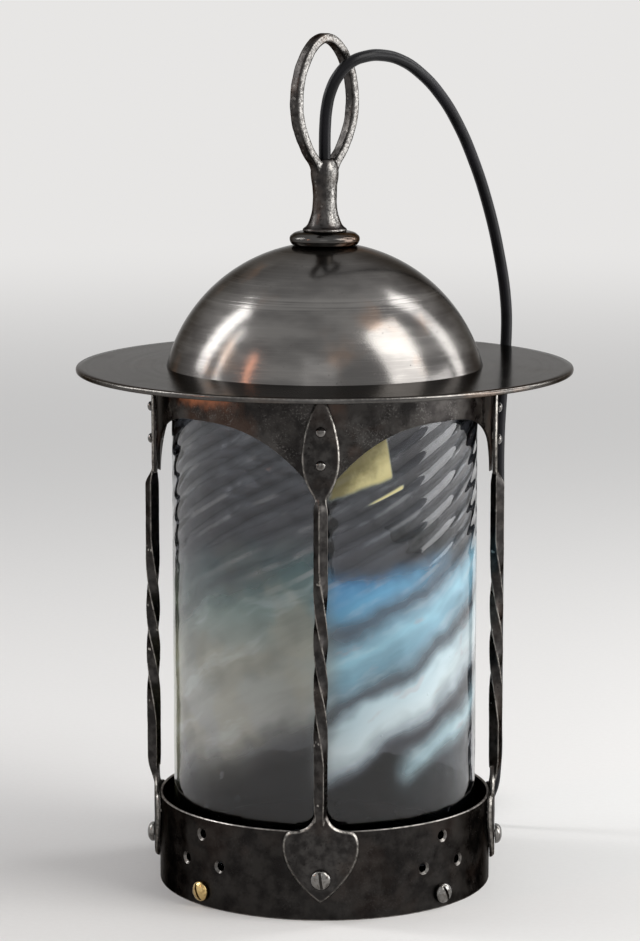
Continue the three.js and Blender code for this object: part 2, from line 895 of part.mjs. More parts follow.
function alongMinusX(geometry, from) {
  return geometry.rotateY(-Math.PI / 2).translate(from, tailEnd.y, tailEnd.z);
}

function plugBoot() {
  const boot = turned([
    [0, 0],
    [flexRadius + 0.8, 0],
    [flexRadius + 1, bootLength * 0.5],
    [plugThickness * 0.42, bootLength],
    [0, bootLength],
  ], 12);
  return alongMinusX(boot, plugStart);
}

function plugBody() {
  const bevel = 2;
  const half = plugThickness / 2;
  const shape = new THREE.Shape();
  shape.moveTo(bevel, -half + bevel);
  shape.lineTo(plugLength * 0.35, -plugWidth / 2 + bevel);
  shape.lineTo(plugLength - bevel, -plugWidth / 2 + bevel);
  shape.lineTo(plugLength - bevel, plugWidth / 2 - bevel);
  shape.lineTo(plugLength * 0.35, plugWidth / 2 - bevel);
  shape.lineTo(bevel, half - bevel);
  const body = new THREE.ExtrudeGeometry(shape, {
    depth: plugThickness - 2 * bevel,
    bevelThickness: bevel,
    bevelSize: bevel,
    bevelSegments: 2,
  });
  body.translate(0, 0, bevel - half).rotateZ(Math.PI);
  return body.translate(plugBack - fit, tailEnd.y, tailEnd.z);
}

function plugPin(side) {
  const start = plugBack - fit - plugLength - fit;
  const outline = [
    [0, 0],
    [pinDiameter / 2, 0],
    [pinDiameter / 2, pinLength - 1.5],
    [pinDiameter / 4, pinLength],
    [0, pinLength],
  ];
  return alongMinusX(turned(outline, 10), start).translate(0, (side * pinSpacing) / 2, 0);
}

// The assembly
const lantern = new THREE.Group();

function add(name, geometry, finish, parent = lantern) {
  const mesh = new THREE.Mesh(geometry, finishes[finish].clone());
  mesh.name = name;
  parent.add(mesh);
  return mesh;
}

function turnedGroup(degrees) {
  const group = new THREE.Group();
  group.rotation.z = THREE.MathUtils.degToRad(degrees);
  lantern.add(group);
  return group;
}

add('hanging_loop', hangingLoop(), 'forged');
add('loop_collar', collar(), 'forged');
add('dome', dome(), 'darkBronze');
add('brim', brim(), 'darkBronze');
add('brim_spacer', brimSpacer(), 'darkBronze');
add('upper_band', upperBand(), 'darkBronze');
add('lower_band', lowerBand(), 'darkBronze');

['front', 'right', 'back', 'left'].forEach((side, i) => {
  const angle = i * 90;
  const [upper, lower] = rivetHeights();
  const screw = slottedScrew(plateOutside + fit, bandInside - nutHeight - headRoom / 2, 100);
  add(`strap_${side}`, strap(), 'forged', turnedGroup(angle));
  add(`rivet_${side}_upper`, rivet(angle, upper), 'bright');
  add(`rivet_${side}_lower`, rivet(angle, lower), 'bright');
  add(`strap_screw_${side}`, aimed(screw, angle, footScrewRise), 'bright');
  add(`strap_nut_${side}`, strapNut(angle), 'bright');
});

['front_right', 'back_right', 'back_left', 'front_left'].forEach((side, i) => {
  const screw = slottedScrew(bandRadius + fit, ringScrewTip, 115);
  const finish = side === 'front_left' ? 'brass' : 'bright';
  add(`glass_screw_${side}`, aimed(screw, 45 + 90 * i, ringScrewRise), finish);
});
add('gallery_ring', galleryRing(), 'darkBronze');
add('glass_cylinder', glassCylinder(), 'glass');

add('threaded_tube', threadedTube(), 'brass');
add('crown_washer', crownWasher(), 'brass');
add('crown_nut', hexNut(lockNutWidth, tubeRadius, lockNutTop - lockNutHeight, lockNutHeight), 'brass');
add('holder_cap', holderCap(), 'holder');
add('holder_body', holderBody(), 'holder');
add('holder_shade_ring', shadeRing(), 'holder');
add('holder_insert', holderInsert(), 'ceramic');
add('holder_screw_shell', screwShell(), 'brass');
add('holder_contact', centreContact(), 'brass');

add('lead_in_stem', turned(rod(flexRadius, tubeBottom, leadTop), flexSides), 'flex');
const freeLine = flexLine();
add('flex', tubeAlong(freeLine, flexRadius, flexSides, flexSteps), 'flex');
const coil = coilPoints();
add('flex_coil', coilTube(coil), 'flex');
add('coil_tie', coilTie(), 'plug');
add('plug_boot', plugBoot(), 'plug');
add('plug_body', plugBody(), 'plug');
add('plug_pin_near', plugPin(-1), 'bright');
add('plug_pin_far', plugPin(1), 'bright');

const coilLine = new THREE.CatmullRomCurve3(coil, false, 'centripetal');
console.log(`flex ${freeLine.getLength().toFixed(1)} mm free, ${coilLine.getLength().toFixed(1)} mm coiled`);
console.log(`least gap in the coil ${leastGap(coil).toFixed(2)} mm`);

export default lantern;
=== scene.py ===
import math

import bmesh
import bpy
from mathutils import Matrix, Vector, noise
from mathutils.geometry import interpolate_bezier


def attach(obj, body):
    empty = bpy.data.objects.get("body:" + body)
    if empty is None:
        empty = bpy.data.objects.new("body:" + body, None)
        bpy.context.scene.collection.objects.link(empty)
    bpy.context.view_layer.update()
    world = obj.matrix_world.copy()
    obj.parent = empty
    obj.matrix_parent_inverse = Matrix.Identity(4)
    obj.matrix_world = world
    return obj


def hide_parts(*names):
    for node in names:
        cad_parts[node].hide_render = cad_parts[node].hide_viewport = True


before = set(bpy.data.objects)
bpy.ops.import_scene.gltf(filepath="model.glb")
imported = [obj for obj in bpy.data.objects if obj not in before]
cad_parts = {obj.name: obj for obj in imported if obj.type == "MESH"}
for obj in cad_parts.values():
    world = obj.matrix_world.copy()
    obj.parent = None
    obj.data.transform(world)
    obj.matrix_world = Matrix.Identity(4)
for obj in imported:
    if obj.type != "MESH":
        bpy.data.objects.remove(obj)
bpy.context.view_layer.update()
scene = bpy.context.scene
scene.view_settings.view_transform = "Standard"

METRE = 0.001  # one millimetre, in metres
QUARTERS = (0, 90, 180, 270)  # bearings of the straps, in degrees from the front
CORNERS = (45, 135, 225, 315)  # bearings of the glass screws and of the middle vents

# Bands
BAND = 85.0
BAND_INSIDE = 83.5
FOOT_TOP = 45.3
BAND_TOP = 263.2
FLANGE_INSIDE = 78.0
FLANGE_BOTTOM = 261.7
ARCH_TOP = 245.7
ARCH_RISE = 35.0
ARCH_POWER = 2.66
VENT_HIGH, VENT_LOW = 36.9, 22.3
VENT_ASIDE = 12.2  # from the middle vent to a lower one, along the band
# Plates and bar of a strap
PLATE_INSIDE = 85.3
PLATE = 2.5
PLATE_OUTSIDE = PLATE_INSIDE + PLATE
LEAF_BOTTOM, LEAF_NECK = 211.2, 210.4
FOOT_BOTTOM, FOOT_NECK = 9.1, 57.0
BAR = 5.4
BAR_CENTRE = 87.92
BAR_BOTTOM, BAR_TOP = 44.1, 213.7
TWIST_BOTTOM, TWIST_HEIGHT = 80.4, 96.0
TWIST, TWIST_START = 304.5, 11.5  # degrees
# Fasteners
RIVETS = (244.3, 227.9)
RIVET_HOLE = 1.6
SCREW_HOLE = 2.3
STRAP_SCREW = 21.8
GLASS_SCREW = 7.7
HEAD_GAP = 0.3  # from a plate or band to the heads on it
SLOTS = (87.6, 90.4)  # bottoms of the screw slots, from the lantern's axis
# Glass
GLASS = 77.5
GLASS_INSIDE = 74.5
GLASS_BOTTOM = 12.0
GLASS_TOP = 256.9
STREAK_CLIMB = 227.0  # height that a streak gains in one turn round the glass
# Brim, dome, collar, tube and loop
BRIM = 125.7
BRIM_BOTTOM = 264.6
BRIM_TOP = 265.8
SPHERE = 82.61
SPHERE_CENTRE = 245.19
CROWN_HOLE = 5.3
COLLAR = 17.7
COLLAR_BOTTOM = 325.88
COLLAR_TOP = 333.28
TUBE_BOTTOM, TUBE = 307.28, 34.0
THROAT = 366.28
EYE_HEIGHT = 63.5
EYE_HALF = 19.2
LOOP_TURN = 45.0
# Flex
FLEX = 6.0
LEAD_TOP = 366.48
COIL_X, COIL_Y = 36.0, 147.0
COIL_INSIDE = 28.0
COIL_PITCH = 6.6
COIL_BOTTOM = 4.2
COIL_TURNS = 4
PLUG_Y, PLUG_Z = 105.8, 6.85


def linked(name, data):
    """A new object in the scene."""
    made = bpy.data.objects.new(name, data)
    scene.collection.objects.link(made)
    return made


# Camera
def make_camera():
    data = bpy.data.cameras.new("camera")
    data.lens = 128.2
    data.sensor_width = 36
    camera = linked("camera", data)
    down = math.radians(9.234)
    aim = Vector((-0.0234 * math.cos(down), 0.9997 * math.cos(down), -math.sin(down)))
    camera.location = (0.037, -1.6817, 0.4849)
    camera.rotation_euler = aim.to_track_quat("-Z", "Y").to_euler()
    scene.camera = camera


make_camera()


# Finishes
class Reading:
    """A number that varies over a surface. Arithmetic on it adds Math nodes."""

    def __init__(self, finish, socket):
        self.finish = finish
        self.socket = socket

    def __add__(self, other):
        return self.finish.maths("ADD", self, other)

    __radd__ = __add__

    def __sub__(self, other):
        return self.finish.maths("SUBTRACT", self, other)

    def __rsub__(self, other):
        return self.finish.maths("SUBTRACT", other, self)

    def __mul__(self, other):
        return self.finish.maths("MULTIPLY", self, other)

    __rmul__ = __mul__

    def __truediv__(self, other):
        return self.finish.maths("DIVIDE", self, other)

    def __pow__(self, other):
        return self.finish.maths("POWER", self, other)

    def __neg__(self):
        return self * -1.0


class Finish:
    """The nodes of a material or of the world."""

    def __init__(self, block):
        self.block = block
        block.use_nodes = True
        self.tree = block.node_tree
        self.tree.nodes.clear()

    def add(self, kind, inputs=None, **settings):
        node = self.tree.nodes.new(kind)
        for key, value in settings.items():
            if key == "stops":
                self.set_stops(node.color_ramp, value)
            else:
                setattr(node, key, value)
        for key, value in (inputs or {}).items():
            socket = node.inputs[key]
            if isinstance(value, Reading):
                value = value.socket
            if isinstance(value, bpy.types.NodeSocket):
                self.tree.links.new(value, socket)
            elif socket.type == "RGBA" and len(value) == 3:
                socket.default_value = (*value, 1)
            else:
                socket.default_value = value
        return node

    def set_stops(self, ramp, stops):
        while len(ramp.elements) < len(stops):
            ramp.elements.new(1.0)
        for element, (position, colour) in zip(ramp.elements, stops):
            element.position = position
            element.color = (*colour, 1)

    def maths(self, operation, *values):
        node = self.add("ShaderNodeMath", dict(enumerate(values)), operation=operation)
        return Reading(self, node.outputs[0])

    def seen_directly(self):
        """1 for rays that show the background: straight, by a reflection or through glass."""
        path = self.add("ShaderNodeLightPath").outputs
        seen = path["Is Camera Ray"]
        for name in ("Is Glossy Ray", "Is Transmission Ray"):
            seen = self.maths("MAXIMUM", seen, path[name])
        return seen

    def blend(self, share, first, second):
        """A shader between two others."""
        return self.add("ShaderNodeMixShader", {0: share, 1: first, 2: second}).outputs[0]

    def done(self, shader, output="ShaderNodeOutputMaterial"):
        self.add(output, {"Surface": shader})
        return self.block


class Surface(Finish):
    """A material of one of the lantern's finishes. Its coordinates are in millimetres."""

    def __init__(self, name):
        super().__init__(bpy.data.materials.new(name))
        inputs = {0: self.add("ShaderNodeTexCoord").outputs["Object"], "Scale": 1 / METRE}
        self.place = self.add("ShaderNodeVectorMath", inputs, operation="SCALE").outputs[0]
        parts = self.add("ShaderNodeSeparateXYZ", {0: self.place}).outputs
        self.x, self.y, self.z = (Reading(self, part) for part in parts)
        self.normal = None

    def radius(self):
        return (self.x * self.x + self.y * self.y) ** 0.5

    def around(self):
        """Angle from the front, positive towards the right, in radians."""
        return self.maths("ARCTAN2", self.x, -self.y)

    def vector(self, x, y, z):
        return self.add("ShaderNodeCombineXYZ", {0: x, 1: y, 2: z}).outputs[0]

    def cloud(self, size, detail=3.0, roughness=0.55, vector=None):
        """Noise from 0 to 1 with features about size millimetres wide."""
        inputs = {"Vector": vector or self.place, "Scale": 1 / size}
        inputs.update(Detail=detail, Roughness=roughness, Distortion=0.0)
        return Reading(self, self.add("ShaderNodeTexNoise", inputs).outputs[0])

    def cells(self, size):
        """Distance to the nearest of scattered points, size millimetres apart."""
        node = self.add("ShaderNodeTexVoronoi", {"Vector": self.place, "Scale": 1 / size})
        return Reading(self, node.outputs["Distance"])

    def rise(self, reading, low, high):
        """0 below low, 1 above high, with a soft change between. It falls if low is over high."""
        ends = (low, high, 0.0, 1.0) if low < high else (high, low, 1.0, 0.0)
        inputs = dict(zip(("From Min", "From Max", "To Min", "To Max"), ends), Value=reading)
        node = self.add(
            "ShaderNodeMapRange", inputs, interpolation_type="SMOOTHSTEP", clamp=True
        )
        return Reading(self, node.outputs[0])

    def between(self, reading, low, high, other_low, other_high):
        """1 where two rises along one reading overlap."""
        return self.rise(reading, low, high) * self.rise(reading, other_low, other_high)

    def shades(self, reading, span, stops):
        """Colours along a reading from 0 to 1, with stops given along a span."""
        stops = [(at / span, colour) for at, colour in stops]
        return self.add("ShaderNodeValToRGB", {0: reading}, stops=stops).outputs[0]

    def level(self, reading, span, stops):
        """Numbers along a reading from 0 to 1, with stops given along a span."""
        return Reading(self, self.shades(reading, span, [(at, (n, n, n)) for at, n in stops]))

    def mixed(self, share, first, second):
        inputs = {0: share, 6: first, 7: second}
        return self.add("ShaderNodeMix", inputs, data_type="RGBA").outputs[2]

    def bump(self, height):
        """A relief whose height is in millimetres."""
        inputs = {"Height": height, "Distance": METRE, "Strength": 1.0}
        self.normal = self.add("ShaderNodeBump", inputs).outputs[0]

    def edges(self, low, high):
        """1 along outward edges of a finely divided piece."""
        return self.rise(self.add("ShaderNodeNewGeometry").outputs["Pointiness"], low, high)

    def facing(self, way):
        """1 on faces that look that way, 0 on faces square to those and -1 on their backs."""
        inputs = {0: self.add("ShaderNodeNewGeometry").outputs["Normal"], 1: way}
        dot = self.add("ShaderNodeVectorMath", inputs, operation="DOT_PRODUCT")
        return Reading(self, dot.outputs["Value"])

    def outward(self):
        """1 on faces that look straight away from the lantern's axis."""
        radius = self.radius()
        return self.facing(self.vector(self.x / radius, self.y / radius, 0.0))

    def shader(self, colour, roughness, metallic=0.0, **constants):
        inputs = {"Base Color": colour, "Roughness": roughness, "Metallic": metallic}
        if self.normal:
            inputs["Normal"] = self.normal
        inputs.update({key.replace("_", " "): value for key, value in constants.items()})
        return self.add("ShaderNodeBsdfPrincipled", inputs).outputs[0]

    def dark_metal(self, colour, roughness):
        """The finished material of a metal that stays dark at a grazing angle."""
        return self.done(self.shader(colour, roughness, 1.0, Specular_Tint=(0.32, 0.31, 0.30)))


def toned(lightness, *colours):
    """The colours, each made that much lighter."""
    return [tuple(c * lightness for c in colour) for colour in colours]


def spun_bronze(name, along, lightness, rim=None, scored=None):
    """Dark burnished sheet with turning lines, small pits and warm patches. along(surface) is the
    distance across the turning lines, rim is where they end in a worn edge, and scored is where
    they are deepest."""
    f = Surface(name)
    across = along(f)

    def lined(stretch):
        return f.vector(f.x * stretch, f.y * stretch, across)

    lines = f.cloud(0.4, 3, 0.7, lined(0.006))
    bands = f.cloud(2.4, 2, 0.6, lined(0.012))
    grain = f.cloud(0.8, 2, 0.6)
    patches = f.cloud(38, 3, 0.5)
    smears = f.cloud(19, 3, 0.5, f.vector(f.x * 0.5, f.y * 0.5, f.z * 1.6))
    pits = f.rise(f.cells(2.1), 0.17, 0.06) * f.rise(f.cloud(13), 0.53, 0.64)
    grey, dark, copper = toned(
        lightness, (0.145, 0.139, 0.133), (0.09, 0.086, 0.083), (0.22, 0.15, 0.11)
    )
    [bright] = toned(1.5, grey)
    colour = f.mixed(f.rise(smears, 0.36, 0.66), dark, grey)
    colour = f.mixed(f.rise(patches, 0.54, 0.7) * 0.5, colour, copper)
    colour = f.mixed(f.rise(lines, 0.52, 0.7) * 0.3, colour, bright)
    colour = f.mixed(pits * 0.7, colour, (0.02, 0.018, 0.017))
    roughness = 0.1 + 0.08 * lines + 0.06 * bands + 0.04 * f.rise(smears, 0.5, 0.7)
    relief = 0.005 * lines + 0.008 * bands + 0.01 * smears + 0.012 * grain - 0.05 * pits
    if rim:
        worn = f.rise(f.radius(), *rim) * (0.3 + 0.7 * f.rise(f.cloud(1.6, 4, 0.7), 0.44, 0.6))
        worn = worn * (0.22 + 0.78 * f.rise(f.z, BRIM_TOP - 0.9, BRIM_TOP - 0.3))
        colour = f.mixed(worn * 0.55, colour, (0.3, 0.28, 0.26))
        roughness = roughness + 0.06 * worn
    if scored:
        start, end = scored
        grooves = f.between(across, start, start + 3, end, end - 3)
        grooves = grooves * f.rise(f.cloud(1.1, 1, 0.5, lined(0.01)), 0.48, 0.58)
        colour = f.mixed(grooves * 0.45, colour, (0.24, 0.23, 0.22))
        relief = relief - 0.02 * grooves
    f.bump(relief)
    return f.dark_metal(colour, roughness)


def band_bronze(name, lightness=1.0, stain=1.0, copper=0.0, rims=None):
    """Dark band, speckled and pitted, with a warm stain and a grey patina, copper showing through
    beside the front strap, and worn rims, with a painted highlight on the countersinks. rims are
    the heights of its two edges."""
    f = Surface(name)
    mottling = f.cloud(9, 4, 0.6)
    bloom = f.rise(f.cloud(34, 3, 0.55), 0.5, 0.64)
    patina = f.rise(f.cloud(24, 4, 0.6), 0.5, 0.62)
    speckle = f.rise(f.cloud(1.0, 4, 0.7), 0.53, 0.64) * f.rise(f.cloud(15), 0.46, 0.64)
    pits = f.rise(f.cells(1.6), 0.2, 0.06) * f.rise(f.cloud(8), 0.5, 0.6)
    dark, light, warm, grey = toned(
        lightness,
        (0.02, 0.0185, 0.018), (0.042, 0.039, 0.037), (0.085, 0.05, 0.036), (0.12, 0.115, 0.11),
    )
    [pale] = toned(1.4, grey)
    colour = f.mixed(f.rise(mottling, 0.35, 0.65), dark, light)
    colour = f.mixed(bloom * (0.45 * stain), colour, warm)
    colour = f.mixed(patina * (0.3 * stain), colour, grey)
    colour = f.mixed(speckle * (0.5 * stain), colour, pale)
    if copper:
        around = f.around() + 0.5 * (f.cloud(12, 4) - 0.5)
        bare = f.between(around, -1.05, -0.9, -0.5, -0.75)
        bare = bare * f.rise(f.z + 8 * (f.cloud(5) - 0.5), 250, 258) * copper
        colour = f.mixed(bare, colour, (0.46, 0.17, 0.085))
    colour = f.mixed(pits, colour, (0.012, 0.011, 0.01))
    if rims:
        low, high = rims
        # Painted highlight: the countersink cones are made lighter to stand for the light they
        # catch.
        sink_highlight = f.between(f.outward(), 0.9, 0.8, 0.4, 0.6)
        ends = f.rise(f.z, low + 0.7, low + 0.2) + f.rise(f.z, high - 0.7, high - 0.2)
        wear_and_highlight = f.maths("MAXIMUM", ends, sink_highlight * 0.6)
    else:
        wear_and_highlight = f.edges(0.53, 0.62)
    wear_and_highlight = wear_and_highlight * (0.35 + 0.4 * f.rise(f.cloud(3), 0.4, 0.6))
    colour = f.mixed(wear_and_highlight, colour, (0.36, 0.34, 0.32))
    f.bump(0.02 * mottling + 0.02 * speckle - 0.05 * pits)
    return f.dark_metal(colour, 0.22 + 0.14 * mottling + 0.1 * speckle + 0.08 * patina)


def forged_metal(name, lightness=1.0, warmth=0.15, plates=False, bare_sides=None):
    """Blackened, hammered bar with small pits, and bright metal where its edges are worn. plates
    adds the lighter bevels of a strap's plates, partly worn metal and partly painted highlight.
    bare_sides is the way that the bare, pitted sides of a flat bent bar look."""
    f = Surface(name)
    scale = f.cloud(4.5, 4, 0.55)
    hammered = f.cloud(5.5, 2, 0.5)
    grain = f.cloud(0.8, 3, 0.6)
    pits = f.rise(f.cloud(1.3, 3, 0.6), 0.56, 0.68) * f.rise(f.cloud(8), 0.4, 0.6)
    tint = f.cloud(16, 3, 0.5)
    dark, grey, warm = toned(
        lightness, (0.022, 0.0205, 0.02), (0.052, 0.049, 0.047), (0.095, 0.068, 0.053)
    )
    colour = f.mixed(f.rise(scale, 0.35, 0.7), dark, grey)
    colour = f.mixed(f.rise(tint, 0.48, 0.7) * warmth, colour, warm)
    wear_and_highlight = f.edges(0.512, 0.55) * (0.25 + 0.5 * f.rise(f.cloud(5, 4, 0.7), 0.42, 0.56))
    if plates:
        # Painted highlight, with some wear: the bevels of the plates are made lighter, as where
        # they catch the light.
        bevel_wear_and_highlight = f.between(f.outward(), 0.93, 0.82, 0.3, 0.55)
        bevel_wear_and_highlight = bevel_wear_and_highlight * (f.rise(f.z, 54, 50) + f.rise(f.z, 210, 212))
        bevel_wear_and_highlight = bevel_wear_and_highlight * (0.16 + 0.4 * f.rise(f.cloud(2.4, 4, 0.7), 0.4, 0.56))
        wear_and_highlight = f.maths("MAXIMUM", wear_and_highlight, bevel_wear_and_highlight)
    if bare_sides:
        wear_and_highlight = wear_and_highlight * 0.3
    colour = f.mixed(wear_and_highlight * 0.9, colour, (0.46, 0.435, 0.4))
    if bare_sides:
        bare = f.rise(f.maths("ABSOLUTE", f.facing(bare_sides)), 0.74, 0.93)
        bare = bare * (0.15 + 0.85 * f.rise(f.cloud(1.3, 4, 0.75), 0.45, 0.56))
        colour = f.mixed(bare * 0.8, colour, (0.27, 0.262, 0.25))
    colour = f.mixed(pits * 0.8, colour, (0.012, 0.011, 0.01))
    f.bump(0.05 * hammered + 0.02 * scale + 0.02 * grain - 0.03 * pits)
    return f.dark_metal(colour, 0.23 + 0.12 * scale + 0.05 * grain - 0.04 * wear_and_highlight)


def worn_metal(name, clean, tarnish, pitting=0.5, spread=2.4, slots=()):
    """Turned fastener metal: clean on the crowns, tarnished in patches, with fine scratches and
    painted shade at the bottom of the slots, which lie at those distances from the lantern's axis."""
    f = Surface(name)
    patches = f.cloud(spread, 4, 0.6)
    scratches = f.cloud(0.5, 3, 0.7, f.vector(f.x * 0.25, f.y * 0.25, f.z * 2.2))
    pits = f.rise(f.cells(0.9), 0.2, 0.07) * f.rise(f.cloud(2.6, 2), 0.48, 0.6)
    [deep] = toned(0.15, tarnish)
    colour = f.mixed(f.rise(patches, 0.46, 0.66) * 0.8, clean, tarnish)
    colour = f.mixed(pits * pitting, colour, deep)
    roughness = 0.1 + 0.1 * patches + 0.08 * scratches
    for slot in slots:
        # Painted shade: the slot floors are darkened where shade falls in them.
        slot_shade = f.between(f.radius(), slot + 0.5, slot + 0.2, slot - 0.5, slot - 0.2)
        slot_shade = slot_shade * f.rise(f.outward(), 0.9, 0.97)
        colour = f.mixed(slot_shade * 0.9, colour, (0.02, 0.018, 0.016))
        roughness = roughness + 0.3 * slot_shade
    f.bump(0.012 * patches + 0.006 * scratches - 0.03 * pits)
    return f.done(f.shader(colour, roughness, 1.0))


def glazed_ceramic():
    f = Surface("holder_ceramic")
    grains = f.cloud(0.6)
    stain = f.rise(f.cloud(7), 0.5, 0.7)
    colour = f.mixed(stain * 0.5, (0.78, 0.75, 0.68), (0.55, 0.49, 0.4))
    f.bump(0.02 * grains)
    return f.done(f.shader(colour, 0.38 + 0.2 * grains))


def black_sheath():
    """The flex's smooth black outer, a little uneven, with some dust and a bloom."""
    f = Surface("flex_sheath")
    dust = f.cloud(0.5)
    bloom = f.rise(f.cloud(26), 0.42, 0.66)
    colour = f.mixed(bloom * 0.5, (0.005, 0.005, 0.006), (0.012, 0.011, 0.015))
    colour = f.mixed(f.rise(dust, 0.62, 0.74) * 0.15, colour, (0.05, 0.048, 0.046))
    f.bump(0.006 * dust + 0.03 * f.cloud(9, 2))
    return f.done(f.shader(colour, 0.26 + 0.14 * bloom + 0.08 * dust, Specular_IOR_Level=0.14))


def matt_plastic():
    f = Surface("plug_plastic")
    grain = f.cloud(0.35, 2)
    scuffs = f.rise(f.cloud(3.5, 5, 0.75), 0.6, 0.72)
    colour = f.mixed(scuffs * 0.4, (0.013, 0.013, 0.014), (0.05, 0.049, 0.048))
    f.bump(0.022 * grain)
    return f.done(f.shader(colour, 0.45 + 0.15 * grain + 0.1 * scuffs))


def art_glass():
    """Smoky clear glass with slanting ribs above, and milky and sky-blue bands that climb to the
    right below. A band keeps its crossing, the height at which it would cross the front."""
    f = Surface("art_glass")
    around = f.around()
    side = f.maths("SINE", around)
    drift = f.cloud(48, 2, 0.5)
    wisp = f.cloud(19, 3, 0.5)
    lean = f.z - around * (STREAK_CLIMB / math.tau)
    crossing = lean + 16 * (drift - 0.5) + 9 * (wisp - 0.5)
    turn = f.maths("FRACT", crossing / STREAK_CLIMB)
    fine = f.cloud(11, 3, 0.5, f.vector(f.x * 0.3, f.y * 0.3, crossing))
    blots = f.cloud(27, 2, 0.5)
    right_milk = f.level(turn, STREAK_CLIMB, [
        (0, 0.1), (38, 0.1), (50, 0.68), (57, 0.45), (64, 0.14), (71, 0.7), (83, 1.0), (93, 0.85),
        (100, 0.34), (107, 0.7), (120, 0.96), (130, 0.76), (137, 0.4), (144, 0.8), (158, 0.96),
        (172, 0.86), (196, 0.5), (212, 0.12), (227, 0.1),
    ])
    left_milk = f.level(turn, STREAK_CLIMB, [
        (0, 0.1), (84, 0.12), (97, 0.34), (110, 0.8), (126, 0.92), (168, 0.9), (180, 0.66),
        (189, 0.32), (198, 0.5), (208, 0.34), (220, 0.12), (227, 0.1),
    ])
    to_right = f.rise(side + 0.3 * (drift - 0.5), -0.1, 0.14)
    low = f.rise(crossing, 60, 66)
    right_milk = right_milk * (low + (1 - low) * f.rise(side, 0.4, 0.62))
    milk = left_milk + (right_milk - left_milk) * to_right
    milk = milk * (0.86 + 0.24 * f.rise(fine, 0.32, 0.66))
    milk = milk * (0.84 + 0.26 * f.rise(blots, 0.36, 0.6))
    ceiling = f.z + 16 * (wisp - 0.5) + to_right * (23 - 14 * side)
    milk = milk * f.rise(ceiling, 199, 176)
    milk = milk * (0.2 + 0.8 * f.rise(f.z + 12 * (wisp - 0.5), 42, 68))

    right_colour = f.shades(turn, STREAK_CLIMB, [
        (0, (0.16, 0.18, 0.22)), (53, (0.33, 0.47, 0.52)), (65, (0.14, 0.17, 0.21)),
        (80, (0.48, 0.57, 0.60)), (92, (0.40, 0.52, 0.57)), (100, (0.15, 0.21, 0.26)),
        (112, (0.17, 0.34, 0.44)), (122, (0.23, 0.44, 0.55)), (136, (0.11, 0.19, 0.27)),
        (148, (0.10, 0.31, 0.50)), (162, (0.055, 0.22, 0.45)), (178, (0.05, 0.16, 0.33)),
        (205, (0.14, 0.22, 0.26)),
    ])
    left_colour = f.shades(f.z / 260, 260, [
        (50, (0.17, 0.17, 0.175)), (78, (0.28, 0.29, 0.29)), (104, (0.34, 0.355, 0.335)),
        (132, (0.275, 0.305, 0.28)), (154, (0.17, 0.24, 0.23)), (176, (0.09, 0.165, 0.175)),
    ])
    beige = f.rise(f.cloud(34, 3, 0.5), 0.46, 0.62)
    left_colour = f.mixed(beige * 0.5, left_colour, (0.34, 0.335, 0.275))
    left_colour = f.mixed(f.rise(side, -0.9, -0.98) * 0.5, left_colour, (0.34, 0.36, 0.17))
    body = f.mixed(to_right, left_colour, right_colour)
    body = f.mixed(f.rise(fine, 0.56, 0.72) * 0.22, body, (0.58, 0.66, 0.68))
    rose = f.rise(f.cloud(19, 3, 0.5, f.vector(f.x, f.y, crossing * 2.0)), 0.6, 0.7) * to_right
    body = f.mixed(rose * 0.3, body, (0.4, 0.3, 0.3))

    # Painted reflection near the top, to the right of the front strap: a pale yellow patch in the
    # glass, with a thin streak below it, both milky
    reflection_patch = f.rise(lean + 11 * around + 5 * (wisp - 0.5), 205.5, 209.5) * f.rise(lean, 244, 230)
    reflection_patch = reflection_patch * f.rise(around, 0.0, 0.08) * f.rise(around + 0.002 * (lean - 222), 0.44, 0.415)
    reflection_sliver = f.rise(lean + 5 * around, 195.7, 197) * f.rise(lean, 196.6, 195.2)
    reflection_sliver = reflection_sliver * f.between(around, 0.24, 0.36, 0.56, 0.53)
    cream_reflection = f.maths("MAXIMUM", reflection_patch, reflection_sliver)
    reflection_warmth = f.rise(around * 60 - lean + 26 * (f.cloud(9) - 0.5), -204, -184)
    body = f.mixed(cream_reflection, body, f.mixed(reflection_warmth, (0.17, 0.145, 0.045), (0.62, 0.55, 0.26)))
    milk = f.maths("MAXIMUM", milk, cream_reflection * 0.92)

    # Ribs that fade downwards, with a painted reflection along their crests, ripples and seeds
    slope = f.z * 0.9 - around * (GLASS * 0.45)
    ribs = f.maths("SINE", slope * (math.tau / 10.5) + 2.4 * drift)
    upper = f.rise(f.z, 150, 205)
    # Painted reflection of the lamps along the rib crests in the upper part.
    rib_reflection = f.rise(ribs, 0.45, 0.98) * upper * f.rise(f.cloud(21, 3, 0.5), 0.42, 0.6)
    body = f.mixed(rib_reflection * (1 - cream_reflection), body, (0.5, 0.51, 0.52))
    milk = f.rise(f.maths("MAXIMUM", milk, rib_reflection * 0.3), 0.0, 1.08)
    ripples = f.cloud(26, 2, 0.4, f.vector(f.x, f.y, f.z - around * 30))
    seeds = f.rise(f.cells(11), 0.075, 0.035)
    f.bump(0.3 * ribs * upper + 0.9 * ripples + 0.12 * seeds)

    smoke = f.mixed(f.rise(f.cloud(40, 2), 0.4, 0.6), (0.22, 0.225, 0.245), (0.28, 0.29, 0.31))
    smoke = f.mixed(f.rise(ribs, 0.2, -0.9) * upper * 0.55, smoke, (0.09, 0.095, 0.105))
    clear = f.shader(smoke, 0.02, Transmission_Weight=1.0, IOR=1.45)
    milky = f.shader(body, 0.13 + 0.05 * fine, Coat_Weight=0.4, Coat_Roughness=0.04)
    return f.done(f.blend(milk * 0.96, clear, milky))


def from_crown(f):
    """Distance down the dome from its crown."""
    return f.maths("ARCTAN2", f.radius(), f.z - SPHERE_CENTRE) * SPHERE


